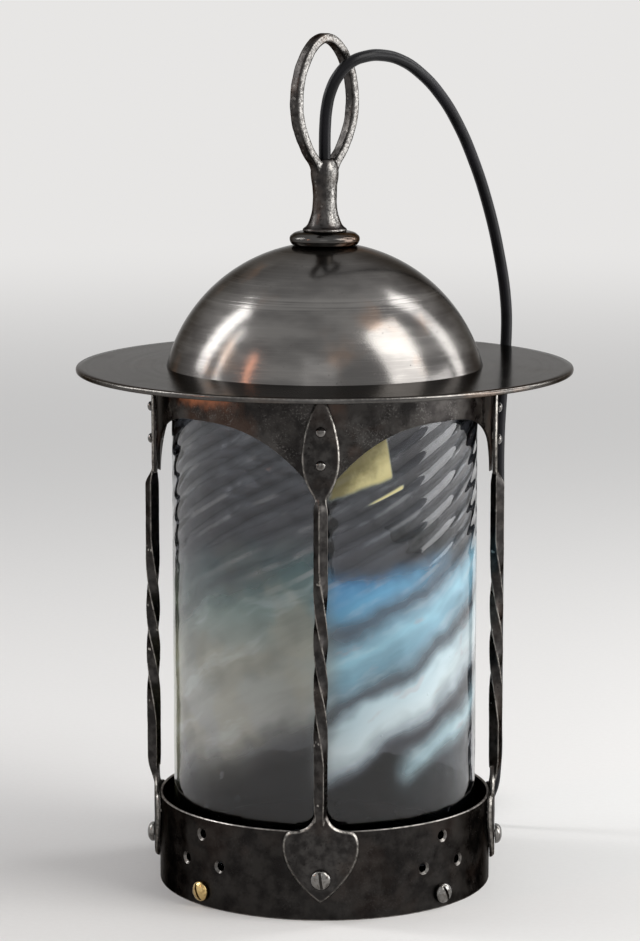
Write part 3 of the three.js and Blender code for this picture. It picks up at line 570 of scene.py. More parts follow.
SPUN_DOME = spun_bronze("spun_dome", from_crown, 1.15, scored=(61, 72))
SPUN_BRIM = spun_bronze("spun_brim", Surface.radius, 0.6, rim=(BRIM - 0.8, BRIM - 0.3))
TURNED_COLLAR = spun_bronze("turned_collar", lambda f: f.z * 2.0, 0.6)
BRIGHT = worn_metal("bright_fastener", (0.2, 0.193, 0.183), (0.07, 0.062, 0.055), slots=SLOTS)
RIVET = worn_metal("rivet_steel", (0.17, 0.162, 0.155), (0.06, 0.055, 0.05))
BRASS = worn_metal("brass_fastener", (0.6, 0.43, 0.19), (0.26, 0.17, 0.07), slots=SLOTS)
HOLDER = worn_metal("holder_brass", (0.42, 0.31, 0.15), (0.16, 0.11, 0.055), 0.3, 9.0)

# Each finish: the slot that its pieces name, and its material
finishes = {
    "dome": ("patinated_sheet", SPUN_DOME),
    "brim": ("patinated_sheet", SPUN_BRIM),
    "collar": ("forged_metal", TURNED_COLLAR),
    "band": ("patinated_sheet", band_bronze("patinated_band", copper=0.75)),
    "foot": ("patinated_sheet", band_bronze("blackened_band", 0.7, 0.25, rims=(0.0, FOOT_TOP))),
    "strap": ("forged_metal", forged_metal("forged_strap", plates=True)),
    "loop": ("forged_metal", forged_metal("forged_loop", 1.3, 0.3, bare_sides=(0.707, -0.707, 0))),
    "bright": ("bright_fastener", BRIGHT),
    "rivet": ("bright_fastener", RIVET),
    "brass": ("brass_fastener", BRASS),
    "holder": ("holder_brass", HOLDER),
    "ceramic": ("holder_ceramic", glazed_ceramic()),
    "flex": ("flex_sheath", black_sheath()),
    "plastic": ("plug_plastic", matt_plastic()),
    "glass": ("art_glass", art_glass()),
}


# Shaping
def spun(outline, sides, closed=True):
    """A bmesh turned about Z from an outline of (radius, height) pairs."""
    bm = bmesh.new()
    corners = [bm.verts.new((radius, 0, height)) for radius, height in outline]
    following = corners[1:] + (corners[:1] if closed else [])
    lines = [bm.edges.new(pair) for pair in zip(corners, following)]
    bmesh.ops.spin(
        bm, geom=corners + lines, cent=(0, 0, 0), axis=(0, 0, 1), angle=math.tau, steps=sides,
        use_merge=True,
    )
    bmesh.ops.remove_doubles(bm, verts=bm.verts, dist=0.0005)
    bmesh.ops.recalc_face_normals(bm, faces=bm.faces)
    return bm


def rod(radius, bottom, top, sides):
    outline = [(0, bottom), (radius, bottom), (radius, top), (0, top)]
    return spun(outline, sides, closed=False)


def block(size, centre=(0, 0, 0)):
    bm = bmesh.new()
    bmesh.ops.create_cube(bm, size=1)
    bmesh.ops.scale(bm, vec=size, verts=bm.verts)
    bmesh.ops.translate(bm, vec=centre, verts=bm.verts)
    return bm


def bevel(bm, edges, width, segments=1, **more):
    bmesh.ops.bevel(
        bm, geom=edges, offset=width, offset_type="OFFSET", affect="EDGES", segments=segments,
        profile=0.5, material=-1, **more,
    )


def soften(bm, width, segments=2, angle=30.0):
    """Rounds the edges that are sharper than the angle, in degrees."""
    limit = math.radians(angle)
    sharp = [e for e in bm.edges if len(e.link_faces) == 2 and e.calc_face_angle() > limit]
    bevel(bm, sharp, width, segments, clamp_overlap=True)
    return bm


def long_edges(bm, axis, length):
    """The edges that run further than the length along an axis."""
    return [e for e in bm.edges if abs(e.verts[0].co[axis] - e.verts[1].co[axis]) > length]


def turning(degrees, axis="Z"):
    return Matrix.Rotation(math.radians(degrees), 4, axis)


def moved(bm, matrix):
    bmesh.ops.transform(bm, matrix=matrix, verts=bm.verts)
    return bm


def turn_about_z(bm, angle):
    bmesh.ops.rotate(bm, cent=(0, 0, 0), matrix=Matrix.Rotation(angle, 3, "Z"), verts=bm.verts)


def point_out(bm, angle, height):
    """Turns a piece on the Z axis so that its top points out of the lantern at that angle."""
    return moved(bm, turning(angle) @ Matrix.Translation((0, 0, height)) @ turning(90, "X"))


def flowing(points, steps):
    """A smooth run of points through the given ones."""
    vectors = [Vector(p) for p in points]
    line = []
    for i in range(len(vectors) - 1):
        before = vectors[max(i - 1, 0)]
        start, end = vectors[i], vectors[i + 1]
        after = vectors[min(i + 2, len(vectors) - 1)]
        linear = end - before
        square = 2 * before - 5 * start + 4 * end - after
        cube = 3 * start - before - 3 * end + after
        for step in range(steps):
            t = step / steps
            line.append(0.5 * (2 * start + linear * t + square * t**2 + cube * t**3))
    line.append(vectors[-1])
    return line


def to_mesh(name, bm):
    bmesh.ops.scale(bm, vec=(METRE,) * 3, verts=bm.verts)
    mesh = bpy.data.meshes.new(name)
    bm.to_mesh(mesh)
    bm.free()
    return mesh


def to_bmesh(*meshes):
    """One bmesh with the shells of one or more meshes."""
    bm = bmesh.new()
    for mesh in meshes:
        bm.from_mesh(mesh)
    bmesh.ops.scale(bm, vec=(1 / METRE,) * 3, verts=bm.verts)
    return bm


def together(*parts):
    """One bmesh with the shells of several, and with its faces turned outwards."""
    meshes = [to_mesh("part", part) for part in parts]
    bm = to_bmesh(*meshes)
    for mesh in meshes:
        bpy.data.meshes.remove(mesh)
    bmesh.ops.recalc_face_normals(bm, faces=bm.faces)
    return bm


def evaluated(*objects):
    """The shape of the first object. All the objects are then removed."""
    bpy.context.view_layer.update()
    graph = bpy.context.evaluated_depsgraph_get()
    mesh = bpy.data.meshes.new_from_object(objects[0].evaluated_get(graph))
    bm = to_bmesh(mesh)
    for used in objects:
        bpy.data.objects.remove(used)
    bpy.data.meshes.remove(mesh)
    return bm


def modified(bm, kind, **settings):
    """The bmesh after one modifier."""
    holder = linked("blank", to_mesh("blank", bm))
    modifier = holder.modifiers.new("shape", kind)
    for key, value in settings.items():
        setattr(modifier, key, value)
    return evaluated(holder)


def joined_with(bm, tools, operation="DIFFERENCE"):
    """The bmesh with each tool cut out of it or joined to it."""
    for tool in tools:
        cutter = linked("tool", to_mesh("tool", tool))
        bm = modified(bm, "BOOLEAN", operation=operation, object=cutter, solver="EXACT")
        bpy.data.objects.remove(cutter)
    bmesh.ops.dissolve_degenerate(bm, edges=bm.edges, dist=0.01)
    return bm


def forged(bm, voxel, rounds):
    """One skin over all the shells of a bmesh, with its edges a little blunted."""
    bm = modified(bm, "REMESH", mode="VOXEL", voxel_size=voxel * METRE, adaptivity=0.0)
    for _ in range(rounds):
        bmesh.ops.smooth_vert(
            bm, verts=bm.verts, factor=0.5, use_axis_x=True, use_axis_y=True, use_axis_z=True
        )
    return bm


def hammer(bm, marks, seed):
    """Moves the skin in and out. marks are (depth, size) pairs."""
    bm.normal_update()
    shift = Vector((seed * 37.0, seed * 11.0, 0))
    moves = [
        sum(depth * noise.noise((vert.co + shift) / size) for depth, size in marks)
        for vert in bm.verts
    ]
    for vert, move in zip(bm.verts, moves):
        vert.co += vert.normal * move
    return bm


def piece(name, node, bm, finish, body="frame", sharp=35.0):
    """Shows a shape in place of a CAD node."""
    slot, material = finishes[finish]
    mesh = to_mesh(name, bm)
    mesh.shade_smooth()
    mesh.set_sharp_from_angle(angle=math.radians(sharp))
    mesh.materials.append(material)
    made = linked(name, mesh)
    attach(made, body)
    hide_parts(node)
    return made


def even_shading(made):
    """Lets the broad faces set the shading round cut holes."""
    modifier = made.modifiers.new("even_shading", "WEIGHTED_NORMAL")
    modifier.keep_sharp = True


def keep_node(node, finish):
    """A CAD node whose shape is right, with its own finish."""
    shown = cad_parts[node]
    shown.data.materials.clear()
    shown.data.materials.append(finishes[finish][1])


# Flex, with its coil, tie and plug
FLEX_ROUTE = [
    (0, 0, 366.78), (0, 0, 372.48), (0, 0, 379), (0.2, 0, 386), (1, -0.3, 395), (3, -0.9, 403.5),
    (7, -0.8, 411.5), (13, 1.6, 417.6), (20.5, 6.2, 420.4), (28.5, 12.5, 420.7), (38, 20.5, 418),
    (48.5, 31, 410.5), (58.7, 42.5, 398.8), (67.5, 54.5, 384), (75.2, 65.5, 366.5),
    (83.6, 78, 341.5), (90.2, 86.5, 314), (94.2, 91, 288), (94.6, 92.3, 268), (93, 92.4, 245),
    (91.4, 92.2, 215), (91.4, 92.2, 180), (91.4, 92.2, 140), (91.4, 92.2, 100), (91.4, 92.2, 60),
    (91.2, 92.3, 36), (88.4, 93.4, 18.6), (80.4, 96.4, 7.2), (69, 100.4, 3.3), (58, 103.6, 3.4),
    (53.2, 104.9, 3.75), (48.3, 105.8, 4.2),
]


def smooth_share(value, low, high):
    share = min(max((value - low) / (high - low), 0.0), 1.0)
    return share * share * (3 - 2 * share)


def coil_route():
    """Inwards on the table, then outwards on top, clockwise, and off to the plug."""
    points = [(COIL_X + FLEX, PLUG_Y, COIL_BOTTOM)]
    for i in range(24 * COIL_TURNS + 1):
        turns = i / 24
        radius = COIL_INSIDE + COIL_PITCH * abs(turns - COIL_TURNS / 2)
        angle = -math.pi / 2 - math.tau * turns
        x, y = COIL_X + radius * math.cos(angle), COIL_Y + radius * math.sin(angle)
        points.append((x, y, COIL_BOTTOM + COIL_PITCH * smooth_share(turns, 1.75, 2.25)))
    top = COIL_BOTTOM + COIL_PITCH
    for along, down in ((0.14, 0.01), (0.28, 0.08), (0.42, 0.3), (0.56, 0.62), (0.7, 0.9)):
        points.append((COIL_X - 40 * along, PLUG_Y, top + (PLUG_Z - top) * down))
    return points + [(2, PLUG_Y, PLUG_Z), (-4, PLUG_Y, PLUG_Z)]


def make_flex():
    route = FLEX_ROUTE + coil_route()
    data = bpy.data.curves.new("flex_lead", "CURVE")
    data.dimensions = "3D"
    line = data.splines.new("BEZIER")
    line.bezier_points.add(len(route) - 1)
    for knot, spot in zip(line.bezier_points, route):
        knot.co = Vector(spot) * METRE
        knot.handle_left_type = knot.handle_right_type = "AUTO"
    line.resolution_u = 5
    data.bevel_depth = FLEX / 2 * METRE
    data.bevel_resolution = 6
    data.use_fill_caps = True
    data.materials.append(finishes["flex"][1])
    lead = linked("flex_lead", data)
    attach(lead, "frame")
    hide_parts("flex", "flex_coil")
    return lead


def make_tie():
    """A flat strap round one side of the coil."""
    left, right = COIL_INSIDE - 4.1, COIL_INSIDE + 17.3
    bottom, top = 0.1, 14.9
    size = (right - left, 9, top - bottom)
    bm = block(size, ((left + right) / 2, 0, (top + bottom) / 2))
    ends = [face for face in bm.faces if abs(face.normal.y) > 0.9]
    bmesh.ops.delete(bm, geom=ends, context="FACES_ONLY")
    bevel(bm, long_edges(bm, 1, 5), 2.0, 5)
    bmesh.ops.solidify(bm, geom=bm.faces[:], thickness=0.8)
    soften(bm, 0.2)
    moved(bm, Matrix.Translation((COIL_X, COIL_Y, 0)) @ turning(100))
    return piece("coil_strap", "coil_tie", bm, "plastic")


def along_plug(bm, start, side=0.0):
    """Lays a piece that points up along -X from that start on the plug's axis."""
    return moved(bm, Matrix.Translation((start, PLUG_Y + side, PLUG_Z)) @ turning(-90, "Y"))


def make_boot():
    """Tapered strain relief with five rounded ribs."""
    outline = [(0, 0), (3.6, 0), (3.9, 0.4)]
    for i in range(5):
        base = 2.2 + i * 3.4
        outer = 4.0 + 1.6 * (base / 21) ** 1.5
        inner = outer - 0.5
        outline += [(outer, base), (inner, base + 0.5), (inner, base + 1.2), (outer, base + 1.7)]
    outline += [(5.7, 20.4), (5.5, 21), (0, 21)]
    bm = spun(outline, 48, closed=False)
    return piece("plug_sleeve", "plug_boot", along_plug(bm, -4.3), "plastic")


def make_plug():
    """A flat two-pin plug, waisted for the fingers, with a sunk panel on each face."""
    thickness = 13.6
    side = [(0, 6.6), (4, 6.9), (9, 10.6), (13, 13.0), (33.6, 13.0), (35, 11.6)]
    around = side + [(x, -y) for x, y in reversed(side)]
    bm = bmesh.new()
    face = bm.faces.new([bm.verts.new((y, -thickness / 2, x)) for x, y in around])
    raised = bmesh.ops.extrude_face_region(bm, geom=[face])["geom"]
    corners = [item for item in raised if isinstance(item, bmesh.types.BMVert)]
    bmesh.ops.translate(bm, vec=(0, thickness, 0), verts=corners)
    bmesh.ops.recalc_face_normals(bm, faces=bm.faces)
    soften(bm, 2.2, 4, 25)
    flats = [f for f in bm.faces if abs(f.normal.y) > 0.99 and f.calc_area() > 300]
    bmesh.ops.inset_individual(bm, faces=flats, thickness=2.6, depth=0)
    bmesh.ops.inset_individual(bm, faces=flats, thickness=0.5, depth=-0.5)
    return piece("plug_shell", "plug_body", along_plug(moved(bm, turning(90)), -25.6), "plastic")


def make_pin(node, side):
    outline = [(0, 0), (2, 0), (2, 17.4), (1.8, 18.2), (1.2, 18.8), (0, 19)]
    bm = along_plug(spun(outline, 32, closed=False), -60.9, side * 9.3)
    return piece(f"{node}_turned", node, bm, "bright")


flex = make_flex()
flex_fittings = [
    make_tie(), make_boot(), make_plug(), make_pin("plug_pin_near", -1), make_pin("plug_pin_far", 1)
]
piece("lead_inside", "lead_in_stem", rod(FLEX / 2, TUBE_BOTTOM, LEAD_TOP, 24), "flex")


# Dome, brim and collar
def dome_arc(radius, steps=56):
    base = math.acos((BRIM_TOP - SPHERE_CENTRE) / radius)
    crown = math.asin(CROWN_HOLE / radius)
    angles = [base + (crown - base) * i / steps for i in range(steps + 1)]
    return [(radius * math.sin(a), SPHERE_CENTRE + radius * math.cos(a)) for a in angles]


def make_dome():
    sheet = 1.2
    bm = spun(dome_arc(SPHERE) + dome_arc(SPHERE - sheet)[::-1], 224)
    piece("dome_cap", "dome", bm, "dome")


def make_brim():
    outline = [
        (75, BRIM_BOTTOM), (123.7, BRIM_BOTTOM), (123.7, BAND_TOP), (125.1, BAND_TOP),
        (125.55, 263.6), (BRIM, 264.3), (125.68, 264.9), (125.4, 265.5), (124.9, BRIM_TOP),
        (122, 265.78), (110, BRIM_TOP), (75, BRIM_TOP),
    ]
    piece("brim_plate", "brim", spun(outline, 256), "brim")


def make_collar():
    middle = COLLAR_BOTTOM + 7.4 * 0.48

    def on_dome(radius):
        return radius, SPHERE_CENTRE + math.sqrt(SPHERE**2 - radius**2) + 0.3

    side = [
        on_dome(14.87), (16.4, middle - 2.6), (17.35, middle - 1.3), (COLLAR, middle),
        (17.45, middle + 1.4), (16.5, COLLAR_TOP - 1.5), (15.2, COLLAR_TOP - 0.6),
        (13.1, COLLAR_TOP),
    ]
    outline = [on_dome(CROWN_HOLE), on_dome(10)]
    outline += [tuple(p) for p in flowing(side, 4)] + [(CROWN_HOLE, COLLAR_TOP)]
    piece("collar_ring", "loop_collar", spun(outline, 112), "collar")


# Bands
def spun_band(outline, sides):
    """A ring turned by half a facet, so that no hole is centred on a corner between facets."""
    bm = spun(outline, sides)
    turn_about_z(bm, math.pi / sides)
    return bm


def hole(angle, height, radius=SCREW_HOLE):
    return point_out(rod(radius, 76, 90, 24), angle, height)


def vent(angle, height):
    """A countersunk hole, turned a little so that its corners miss those of the band."""
    outline = [(0, 81.9), (2.2, 81.9), (2.2, 83.9), (4.9, 86.6), (0, 86.6)]
    bm = spun(outline, 30, closed=False)
    turn_about_z(bm, 0.07)
    return point_out(bm, angle, height)


def make_lower_band():
    heights = [0.3 + 44.6 * i / 18 for i in range(19)]
    outline = [(83.8, 0), (84.7, 0)] + [(BAND, z) for z in heights]
    outline += [(84.6, FOOT_TOP), (83.9, FOOT_TOP)] + [(BAND_INSIDE, z) for z in reversed(heights)]
    aside = math.degrees(VENT_ASIDE / BAND)
    tools = []
    for quarter, corner in zip(QUARTERS, CORNERS):
        tools += [hole(quarter, STRAP_SCREW), hole(corner, GLASS_SCREW), vent(corner, VENT_HIGH)]
        tools += [vent(corner - aside, VENT_LOW), vent(corner + aside, VENT_LOW)]
    bm = joined_with(spun_band(outline, 216), tools)
    even_shading(piece("foot_band", "lower_band", bm, "foot"))


def make_upper_band():
    depth = FLANGE_BOTTOM - ARCH_TOP
    heights = [ARCH_TOP + depth * i / 8 for i in range(9)]
    flange = [(BAND, BAND_TOP), (FLANGE_INSIDE, BAND_TOP), (FLANGE_INSIDE, FLANGE_BOTTOM)]
    wall = [(BAND_INSIDE, z) for z in reversed(heights)]
    bm = spun_band([(BAND, z) for z in heights] + flange + wall, 360)
    for vert in bm.verts:
        if vert.co.z < FLANGE_BOTTOM - 0.001:
            angle = math.degrees(math.atan2(vert.co.x, -vert.co.y))
            share = abs(angle - 90 * round(angle / 90)) / 45
            hang = (FLANGE_BOTTOM - vert.co.z) / depth
            vert.co.z -= hang * ARCH_RISE * (1 - share) ** ARCH_POWER
    soften(bm, 0.3, 2, 40)
    bm = joined_with(bm, [hole(a, height, RIVET_HOLE) for a in QUARTERS for height in RIVETS])
    even_shading(piece("arched_band", "upper_band", bm, "band"))


def make_brim_spacer():
    corners = [(FLANGE_INSIDE, BAND_TOP), (BAND, BAND_TOP), (BAND, BRIM_BOTTOM)]
    bm = spun(corners + [(FLANGE_INSIDE, BRIM_BOTTOM)], 216)
    piece("spacer_ring", "brim_spacer", soften(bm, 0.15), "band")


def make_gallery_ring():
    outline = [
        (81.8, 3), (83.2, 3), (83.2, 11.7), (74.2, 11.7), (74.2, 19.7), (72.8, 19.7),
        (72.8, 10.2), (81.8, 10.2),
    ]
    bm = soften(spun(outline, 144), 0.25)
    bosses = [point_out(rod(3.8, 78.95, 82.5, 32), angle, GLASS_SCREW) for angle in CORNERS]
    bm = joined_with(bm, bosses, "UNION")
    bm = joined_with(bm, [hole(angle, GLASS_SCREW) for angle in CORNERS])
    even_shading(piece("glass_seat", "gallery_ring", bm, "band"))


# Straps
def half_outline(curves, neck):
    """Half of a plate's outline, from its tip to its neck. Each curve is four (x, height) pairs,
    and starts where the one before it ends."""
    line = []
    for curve in curves:
        line += interpolate_bezier(*(Vector((x, height, 0)) for x, height in curve), 16)[:-1]
    return [(p.x, p.y) for p in line] + [neck]


LEAF = half_outline(
    [
        ((0, 51), (-4.0, 46), (-9.3, 33), (-9.3, 20)),
        ((-9.3, 20), (-9.3, 10.5), (-5.6, 4), (-2.7, 0)),
    ],
    (-2.7, -1),
)
SPADE = half_outline(
    [
        ((0, 0), (-8, 5.5), (-18.9, 17), (-18.9, 28.5)),
        ((-18.9, 28.5), (-18.9, 33.5), (-17, 36.8), (-13.5, 36.8)),
        ((-13.5, 36.8), (-8, 37.2), (-3.3, 39.5), (-2.7, 48)),
    ],
    (-2.7, 49),
)


def flat_plate(side, bottom, chamfer):
    """A plate drawn flat in X and Z, with its outer face towards -Y and bevelled."""
    bm = bmesh.new()
    spots = side + [(-x, height) for x, height in reversed(side[1:])]
    back = bm.faces.new([bm.verts.new((x, 0, bottom + height)) for x, height in spots])
    grown = bmesh.ops.extrude_face_region(bm, geom=[back])["geom"]
    front = next(item for item in grown if isinstance(item, bmesh.types.BMFace))
    bmesh.ops.translate(bm, vec=(0, -PLATE, 0), verts=front.verts[:])
    bevel(bm, front.edges[:], chamfer)
    return bm


def twisted_bar():
    """The square bar between the plates, drawn flat, twisted in its middle, flush at its ends."""
    bm = block((BAR, BAR, BAR_TOP - BAR_BOTTOM), (0, 0, (BAR_TOP + BAR_BOTTOM) / 2))
    bevel(bm, long_edges(bm, 2, 50), 0.25)
    bmesh.ops.subdivide_edges(bm, edges=long_edges(bm, 2, 50), cuts=150, use_grid_fill=True)
    for vert in bm.verts:
        share = min(max((vert.co.z - TWIST_BOTTOM) / TWIST_HEIGHT, 0.0), 1.0)
        eased = 0.5 * smooth_share(share, 0, 1) + 0.5 * share
        turn = math.radians(45 - TWIST_START + TWIST * (1 - eased))
        x, y = vert.co.x, vert.co.y
        full = min(smooth_share(vert.co.z, 45, 62), smooth_share(-vert.co.z, -BAR_TOP, -204))
        vert.co.x = (x * math.cos(turn) - y * math.sin(turn)) * (0.7 + 0.3 * full)
        out = x * math.sin(turn) + y * math.cos(turn) - (BAR_CENTRE - PLATE_INSIDE)
        flush = min(max(out, 0.1 - PLATE), 0.0)
        vert.co.y = flush + (out - flush) * full
    return bm


def flatten_backs(bm):
    """Keeps the backs of the plates flat against the bands."""
    for vert in bm.verts:
        if vert.co.z < FOOT_NECK or vert.co.z > LEAF_NECK:
            vert.co.y = min(vert.co.y, 0)


def strap_blank():
    leaf = flat_plate(LEAF, LEAF_BOTTOM, 1.0)
    foot = flat_plate(SPADE, FOOT_BOTTOM, 1.2)
    bm = forged(together(leaf, foot, twisted_bar()), 0.37, 1)
    flatten_backs(bm)
    holes = [hole(0, height, RIVET_HOLE) for height in RIVETS] + [hole(0, STRAP_SCREW)]
    for tool in holes:
        bmesh.ops.translate(tool, vec=(0, PLATE_INSIDE, 0), verts=tool.verts)
    return to_mesh("strap_blank", joined_with(bm, holes))


def make_strap(blank, side, turns):
    """A strap with its own hammer marks, bent round the lantern's axis."""
    bm = hammer(to_bmesh(blank), ((0.1, 6.5), (0.03, 2.4)), turns + 1)
    flatten_backs(bm)
    for vert in bm.verts:
        vert.co.y = -math.sqrt((PLATE_INSIDE - vert.co.y) ** 2 - vert.co.x**2)
    turn_about_z(bm, math.radians(90 * turns))
    piece(f"twisted_strap_{side}", f"strap_{side}", bm, "strap", sharp=60)


# Rivets and screws
def crown(radius, base, height, degrees):
    """Outline of a round head above its rim."""
    angles = [math.radians(d) for d in degrees]
    return [(radius * math.cos(a), base + height * math.sin(a)) for a in angles]


def make_rivets(side, turns):
    head = PLATE_OUTSIDE + HEAD_GAP
    outline = [(0, 82.2), (1.0, 82.2), (1.0, 83.2), (1.3, 83.2), (1.3, head), (2.35, head)]
    outline += [(2.5, head + 0.15)] + crown(2.5, head + 0.2, 1.7, range(8, 90, 9))
    outline.append((0, head + 1.9))
    for place, height in zip(("upper", "lower"), RIVETS):
        bm = point_out(spun(outline, 36, closed=False), 90 * turns, height)
        node = f"rivet_{side}_{place}"
        piece(f"{node}_head", node, hammer(bm, ((0.03, 2.4),), turns), "rivet")


def slotted_screw(seat, tip, slot_turn):
    top = seat + 3.6
    outline = [(0, tip), (1.6, tip), (2, tip + 0.5), (2, seat), (4.95, seat), (5.1, seat + 0.2)]
    outline += [(5.1, seat + 0.8)] + crown(5.1, seat + 0.8, 2.8, range(7, 90, 7)) + [(0, top)]
    slot = moved(block((12.2, 1.4, 2.6)), Matrix.Translation((0, 0, top)) @ turning(slot_turn))
    return soften(joined_with(spun(outline, 56, closed=False), [slot]), 0.12, 1, 50)


def make_strap_screw(side, turns):
    screw = slotted_screw(PLATE_OUTSIDE + HEAD_GAP, 79.9, 98.3)
    node = f"strap_screw_{side}"
    piece(f"{node}_head", node, point_out(screw, 90 * turns, STRAP_SCREW), "bright")


def make_glass_screw(corner, bearing):
    screw = slotted_screw(BAND + HEAD_GAP, 79.25, 113.7)
    node = f"glass_screw_{corner}"
    finish = "brass" if corner == "front_left" else "bright"
    piece(f"{node}_head", node, point_out(screw, bearing, GLASS_SCREW), finish, body=node)


# Glass
def make_glass():
    """Blown wall with slight waves. Its slanting ribs are a relief of its finish."""
    walls = 150
    bottom, top = GLASS_BOTTOM, GLASS_TOP
    heights = [bottom + 0.6 + (top - bottom - 1.5) * i / walls for i in range(walls + 1)]
    outer = [(GLASS, z) for z in heights]
    inner = [(GLASS_INSIDE, z) for z in reversed(heights)]
    rim = [(77.2, top - 0.3), (76.6, top), (75.4, top), (74.8, top - 0.3)]
    foot = [(74.8, bottom + 0.15), (75.4, bottom), (76.6, bottom), (77.2, bottom + 0.15)]
    bm = spun(outer + rim + inner + foot, 240)
    for vert in bm.verts:
        radius = math.hypot(vert.co.x, vert.co.y)
        if bottom + 1 < vert.co.z < top - 1:
            wave = 0.16 * noise.noise(vert.co / 30) + 0.1 * noise.noise(vert.co / 12)
            if radius < (GLASS + GLASS_INSIDE) / 2:
                wave *= 0.6
            scale = (radius + wave) / radius
            vert.co.x *= scale
            vert.co.y *= scale
    piece("glass_wall", "glass_cylinder", bm, "glass", body="glass")


# Hanging loop
EYE_LINE = [
    (0.1, -0.28), (0.15, -0.14), (0.32, 0.01), (0.62, 0.13), (0.92, 0.32), (1, 0.51), (0.91, 0.7),
    (0.66, 0.86), (0.36, 0.96),
]


def poly_curve(name, spots, dimensions):
    """A curve object of straight steps through spots in millimetres."""
    data = bpy.data.curves.new(name, "CURVE")
    data.dimensions = dimensions
    line = data.splines.new("POLY")
    line.points.add(len(spots) - 1)
    for point, spot in zip(line.points, spots):
        point.co = (*(Vector(spot) * METRE), 1)
    return linked(name, data)


def loop_section():
    """Rounded section of a limb: 4.8 in the loop's plane and 6.6 across it."""
    spots = []
    for sign_x, sign_y, start in ((1, 1, 0), (-1, 1, 90), (-1, -1, 180), (1, -1, 270)):
        for step in range(4):
            angle = math.radians(start + step * 30)
            x, y = sign_x * 1.0 + 1.4 * math.cos(angle), sign_y * 1.9 + 1.4 * math.sin(angle)
            spots.append((x, y, 0))
    section = poly_curve("limb_section", spots, "2D")
    section.data.splines[0].use_cyclic_u = True
    return section


def loop_limbs():
    """The two limbs as one bent bar, drawn in X and Y and then stood up."""
    right = [(x * EYE_HALF, THROAT + z * EYE_HEIGHT, 0) for x, z in EYE_LINE]
    left = [(-x, z, 0) for x, z, _ in reversed(right)]
    section = loop_section()
    path = flowing(right + [(0, THROAT + EYE_HEIGHT, 0)] + left, 8)
    limbs = poly_curve("limbs", path, "3D")
    limbs.data.twist_mode = "Z_UP"
    limbs.data.bevel_mode = "OBJECT"
    limbs.data.bevel_object = section
    limbs.data.use_fill_caps = True
    bm = evaluated(limbs, section)
    bmesh.ops.remove_doubles(bm, verts=bm.verts, dist=0.001)
    return moved(bm, turning(LOOP_TURN) @ turning(90, "X"))


def make_loop():
    base, height = COLLAR_TOP, 33.0
    side = [
        (9.63, base + 2.4), (8.35, base + 4.16), (6.85, base + 0.26 * height),
        (6.15, base + 0.42 * height), (6.2, base + 0.66 * height), (7.05, base + 0.86 * height),
        (6.7, base + 0.98 * height), (5.6, THROAT + 1.8), (4.6, THROAT + 3.2),
    ]
    flange = [(0, base), (10.9, base), (11.2, base + 0.3), (11.2, base + 1.3), (10.9, base + 1.6)]
    outline = flange + [tuple(p) for p in flowing(side, 5)] + [(0, THROAT + 3.2)]
    bm = forged(together(loop_limbs(), spun(outline, 64, closed=False)), 0.38, 4)
    bm = hammer(bm, ((0.16, 6.0), (0.06, 2.4)), 7)
    for vert in bm.verts:
        vert.co.z = max(vert.co.z, base)
    bore = rod(3.3, base - 1, THROAT + 5, 32)
    socket = rod(5.3, base - 1, base + 8.3, 40)
    piece("forged_loop", "hanging_loop", joined_with(bm, [bore, socket]), "loop", sharp=60)


# Tube, washer and lampholder
def make_holder():
    thread = []
    for i in range(22):
        at = TUBE_BOTTOM + TUBE * i / 22
        thread += [(5.0, at), (4.55, at + 0.77)]
    ends = [(5.0, TUBE_BOTTOM + TUBE), (3.5, TUBE_BOTTOM + TUBE)]
    tube = spun([(3.5, TUBE_BOTTOM)] + thread + ends, 48)
    piece("nipple_tube", "threaded_tube", tube, "brass")
    ridges = [(14.2 + 0.8 * (i % 2), 276.41 + 11 * i / 6) for i in range(7)]
    rings = [
        ("dished_washer", "crown_washer", "brass", 0.3, [
            (5.3, 323.81), (12, 323.81), (12, 325.41), (5.3, 325.41),
        ]),
        ("holder_top", "holder_cap", "holder", 0.6, [
            (5.3, 319.01), (8.6, 319.01), (8.6, 311.4), (9.2, 310.2), (15.6, 307.01),
            (19.5, 303.01), (19.5, 298.01), (17.7, 298.01), (17.7, 302.11), (13.8, 305.21),
            (5.3, 308.21),
        ]),
        ("holder_shell", "holder_body", "holder", 0.2, [
            (17.7, 271.01), (19.5, 271.01), (19.5, 275.2), (19.1, 275.6), (19.5, 276.0),
            (19.5, 293.5), (19.1, 294.0), (19.5, 294.5), (19.5, 298.01), (17.7, 298.01),
        ]),
        ("shade_ring", "holder_shade_ring", "holder", 0.3, [
            (19.8, 277.01), (22, 277.01), (23.5, 278.51), (23.5, 283.01), (19.8, 283.01),
        ]),
        ("ceramic_insert", "holder_insert", "ceramic", 0.5, [
            (3, 287.71), (16.5, 287.71), (17.4, 292.71), (17.4, 297.71), (3, 297.71),
        ]),
        ("screw_shell", "holder_screw_shell", "brass", 0.25, [
            (13.3, 276.41), *ridges, (13.3, 287.41),
        ]),
    ]
    for name, node, finish, rounding, outline in rings:
        piece(name, node, soften(spun(outline, 72), rounding, 2, 25), finish)


make_dome()
make_brim()
make_collar()
make_lower_band()
make_upper_band()
make_brim_spacer()
make_gallery_ring()
strap = strap_blank()
for turns, facing in enumerate(("front", "right", "back", "left")):
    make_strap(strap, facing, turns)
    make_rivets(facing, turns)
    make_strap_screw(facing, turns)
    keep_node(f"strap_nut_{facing}", "rivet")
for corner, bearing in zip(("front_right", "back_right", "back_left", "front_left"), CORNERS):
    make_glass_screw(corner, bearing)
make_glass()
make_loop()
make_holder()
keep_node("crown_nut", "brass")
keep_node("holder_contact", "brass")


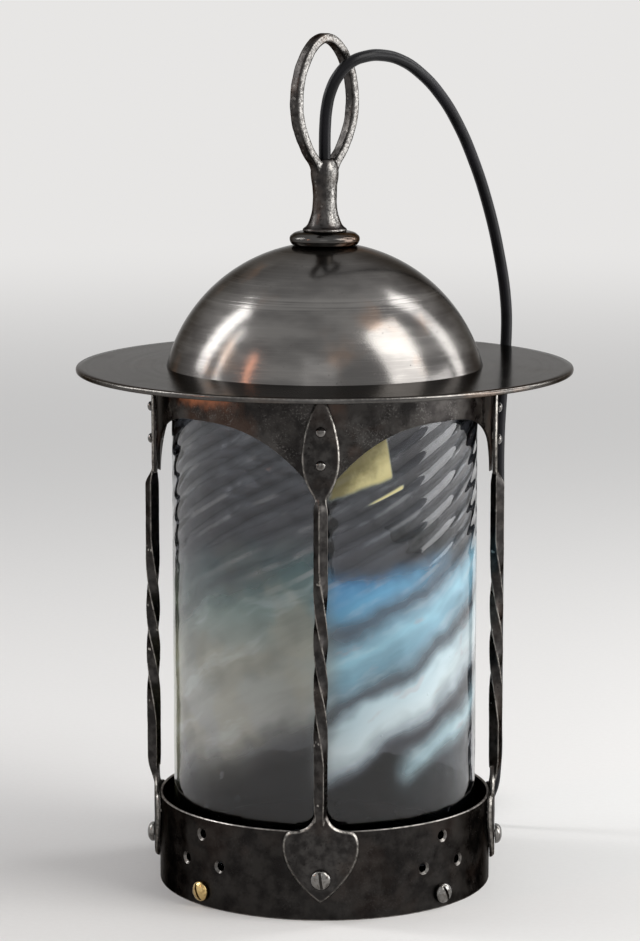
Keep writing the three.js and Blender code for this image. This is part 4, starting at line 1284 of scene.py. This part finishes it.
# Floor, backdrop and lamps
def make_floor():
    f = Surface("pale_floor")
    colour = f.mixed(f.cloud(3), (0.74, 0.73, 0.72), (0.78, 0.775, 0.765))
    surface = f.shader(colour, 0.7)
    glow = f.add("ShaderNodeEmission", {0: (0.80, 0.79, 0.78), 1: 1.0}).outputs[0]
    far = f.rise(f.radius(), 600, 3500)
    bm = bmesh.new()
    bmesh.ops.create_circle(bm, cap_ends=True, segments=96, radius=40)
    mesh = bpy.data.meshes.new("floor")
    bm.to_mesh(mesh)
    bm.free()
    mesh.materials.append(f.done(f.blend(f.seen_directly() * far, surface, glow)))
    linked("floor", mesh)


def make_world():
    f = Finish(bpy.data.worlds.new("studio"))
    fill = f.add("ShaderNodeBackground", {"Color": (0.95, 0.97, 1), "Strength": 0.3}).outputs[0]
    seen = f.add("ShaderNodeBackground", {"Color": (0.82, 0.82, 0.82)}).outputs[0]
    scene.world = f.done(f.blend(f.seen_directly(), fill, seen), "ShaderNodeOutputWorld")


def softbox(name, bearing, distance, height, size, glow, colour=(1, 1, 1)):
    """An area lamp aimed at the lantern, at a bearing from the camera's side, positive to the
    right."""
    data = bpy.data.lights.new(name, "AREA")
    data.shape = "RECTANGLE"
    data.size, data.size_y = size
    data.energy = glow * math.pi * size[0] * size[1]
    data.color = colour
    lamp = linked(name, data)
    turn = math.radians(bearing)
    lamp.location = (distance * math.sin(turn), -distance * math.cos(turn), height)
    aim = Vector((0, 0, 0.22)) - lamp.location
    lamp.rotation_euler = aim.to_track_quat("-Z", "Y").to_euler()


make_floor()
make_world()
softbox("left_softbox", -102, 1.35, 1.08, (0.3, 1.1), 8.5)
softbox("left_strip", -84, 1.4, 0.98, (0.1, 0.9), 7.0)
softbox("copper_strip", -58, 1.6, 1.0, (0.07, 0.6), 10.0, (1, 0.42, 0.24))
softbox("right_softbox", 66, 1.6, 1.35, (1.0, 1.4), 6.3, (1, 0.985, 0.96))
softbox("right_edge", 116, 1.5, 1.1, (0.34, 1.7), 6.0)
softbox("right_low", 88, 1.2, 0.32, (0.7, 0.5), 5.0)
softbox("front_window", -2, 2.5, 1.3, (1.1, 1.7), 0.6)
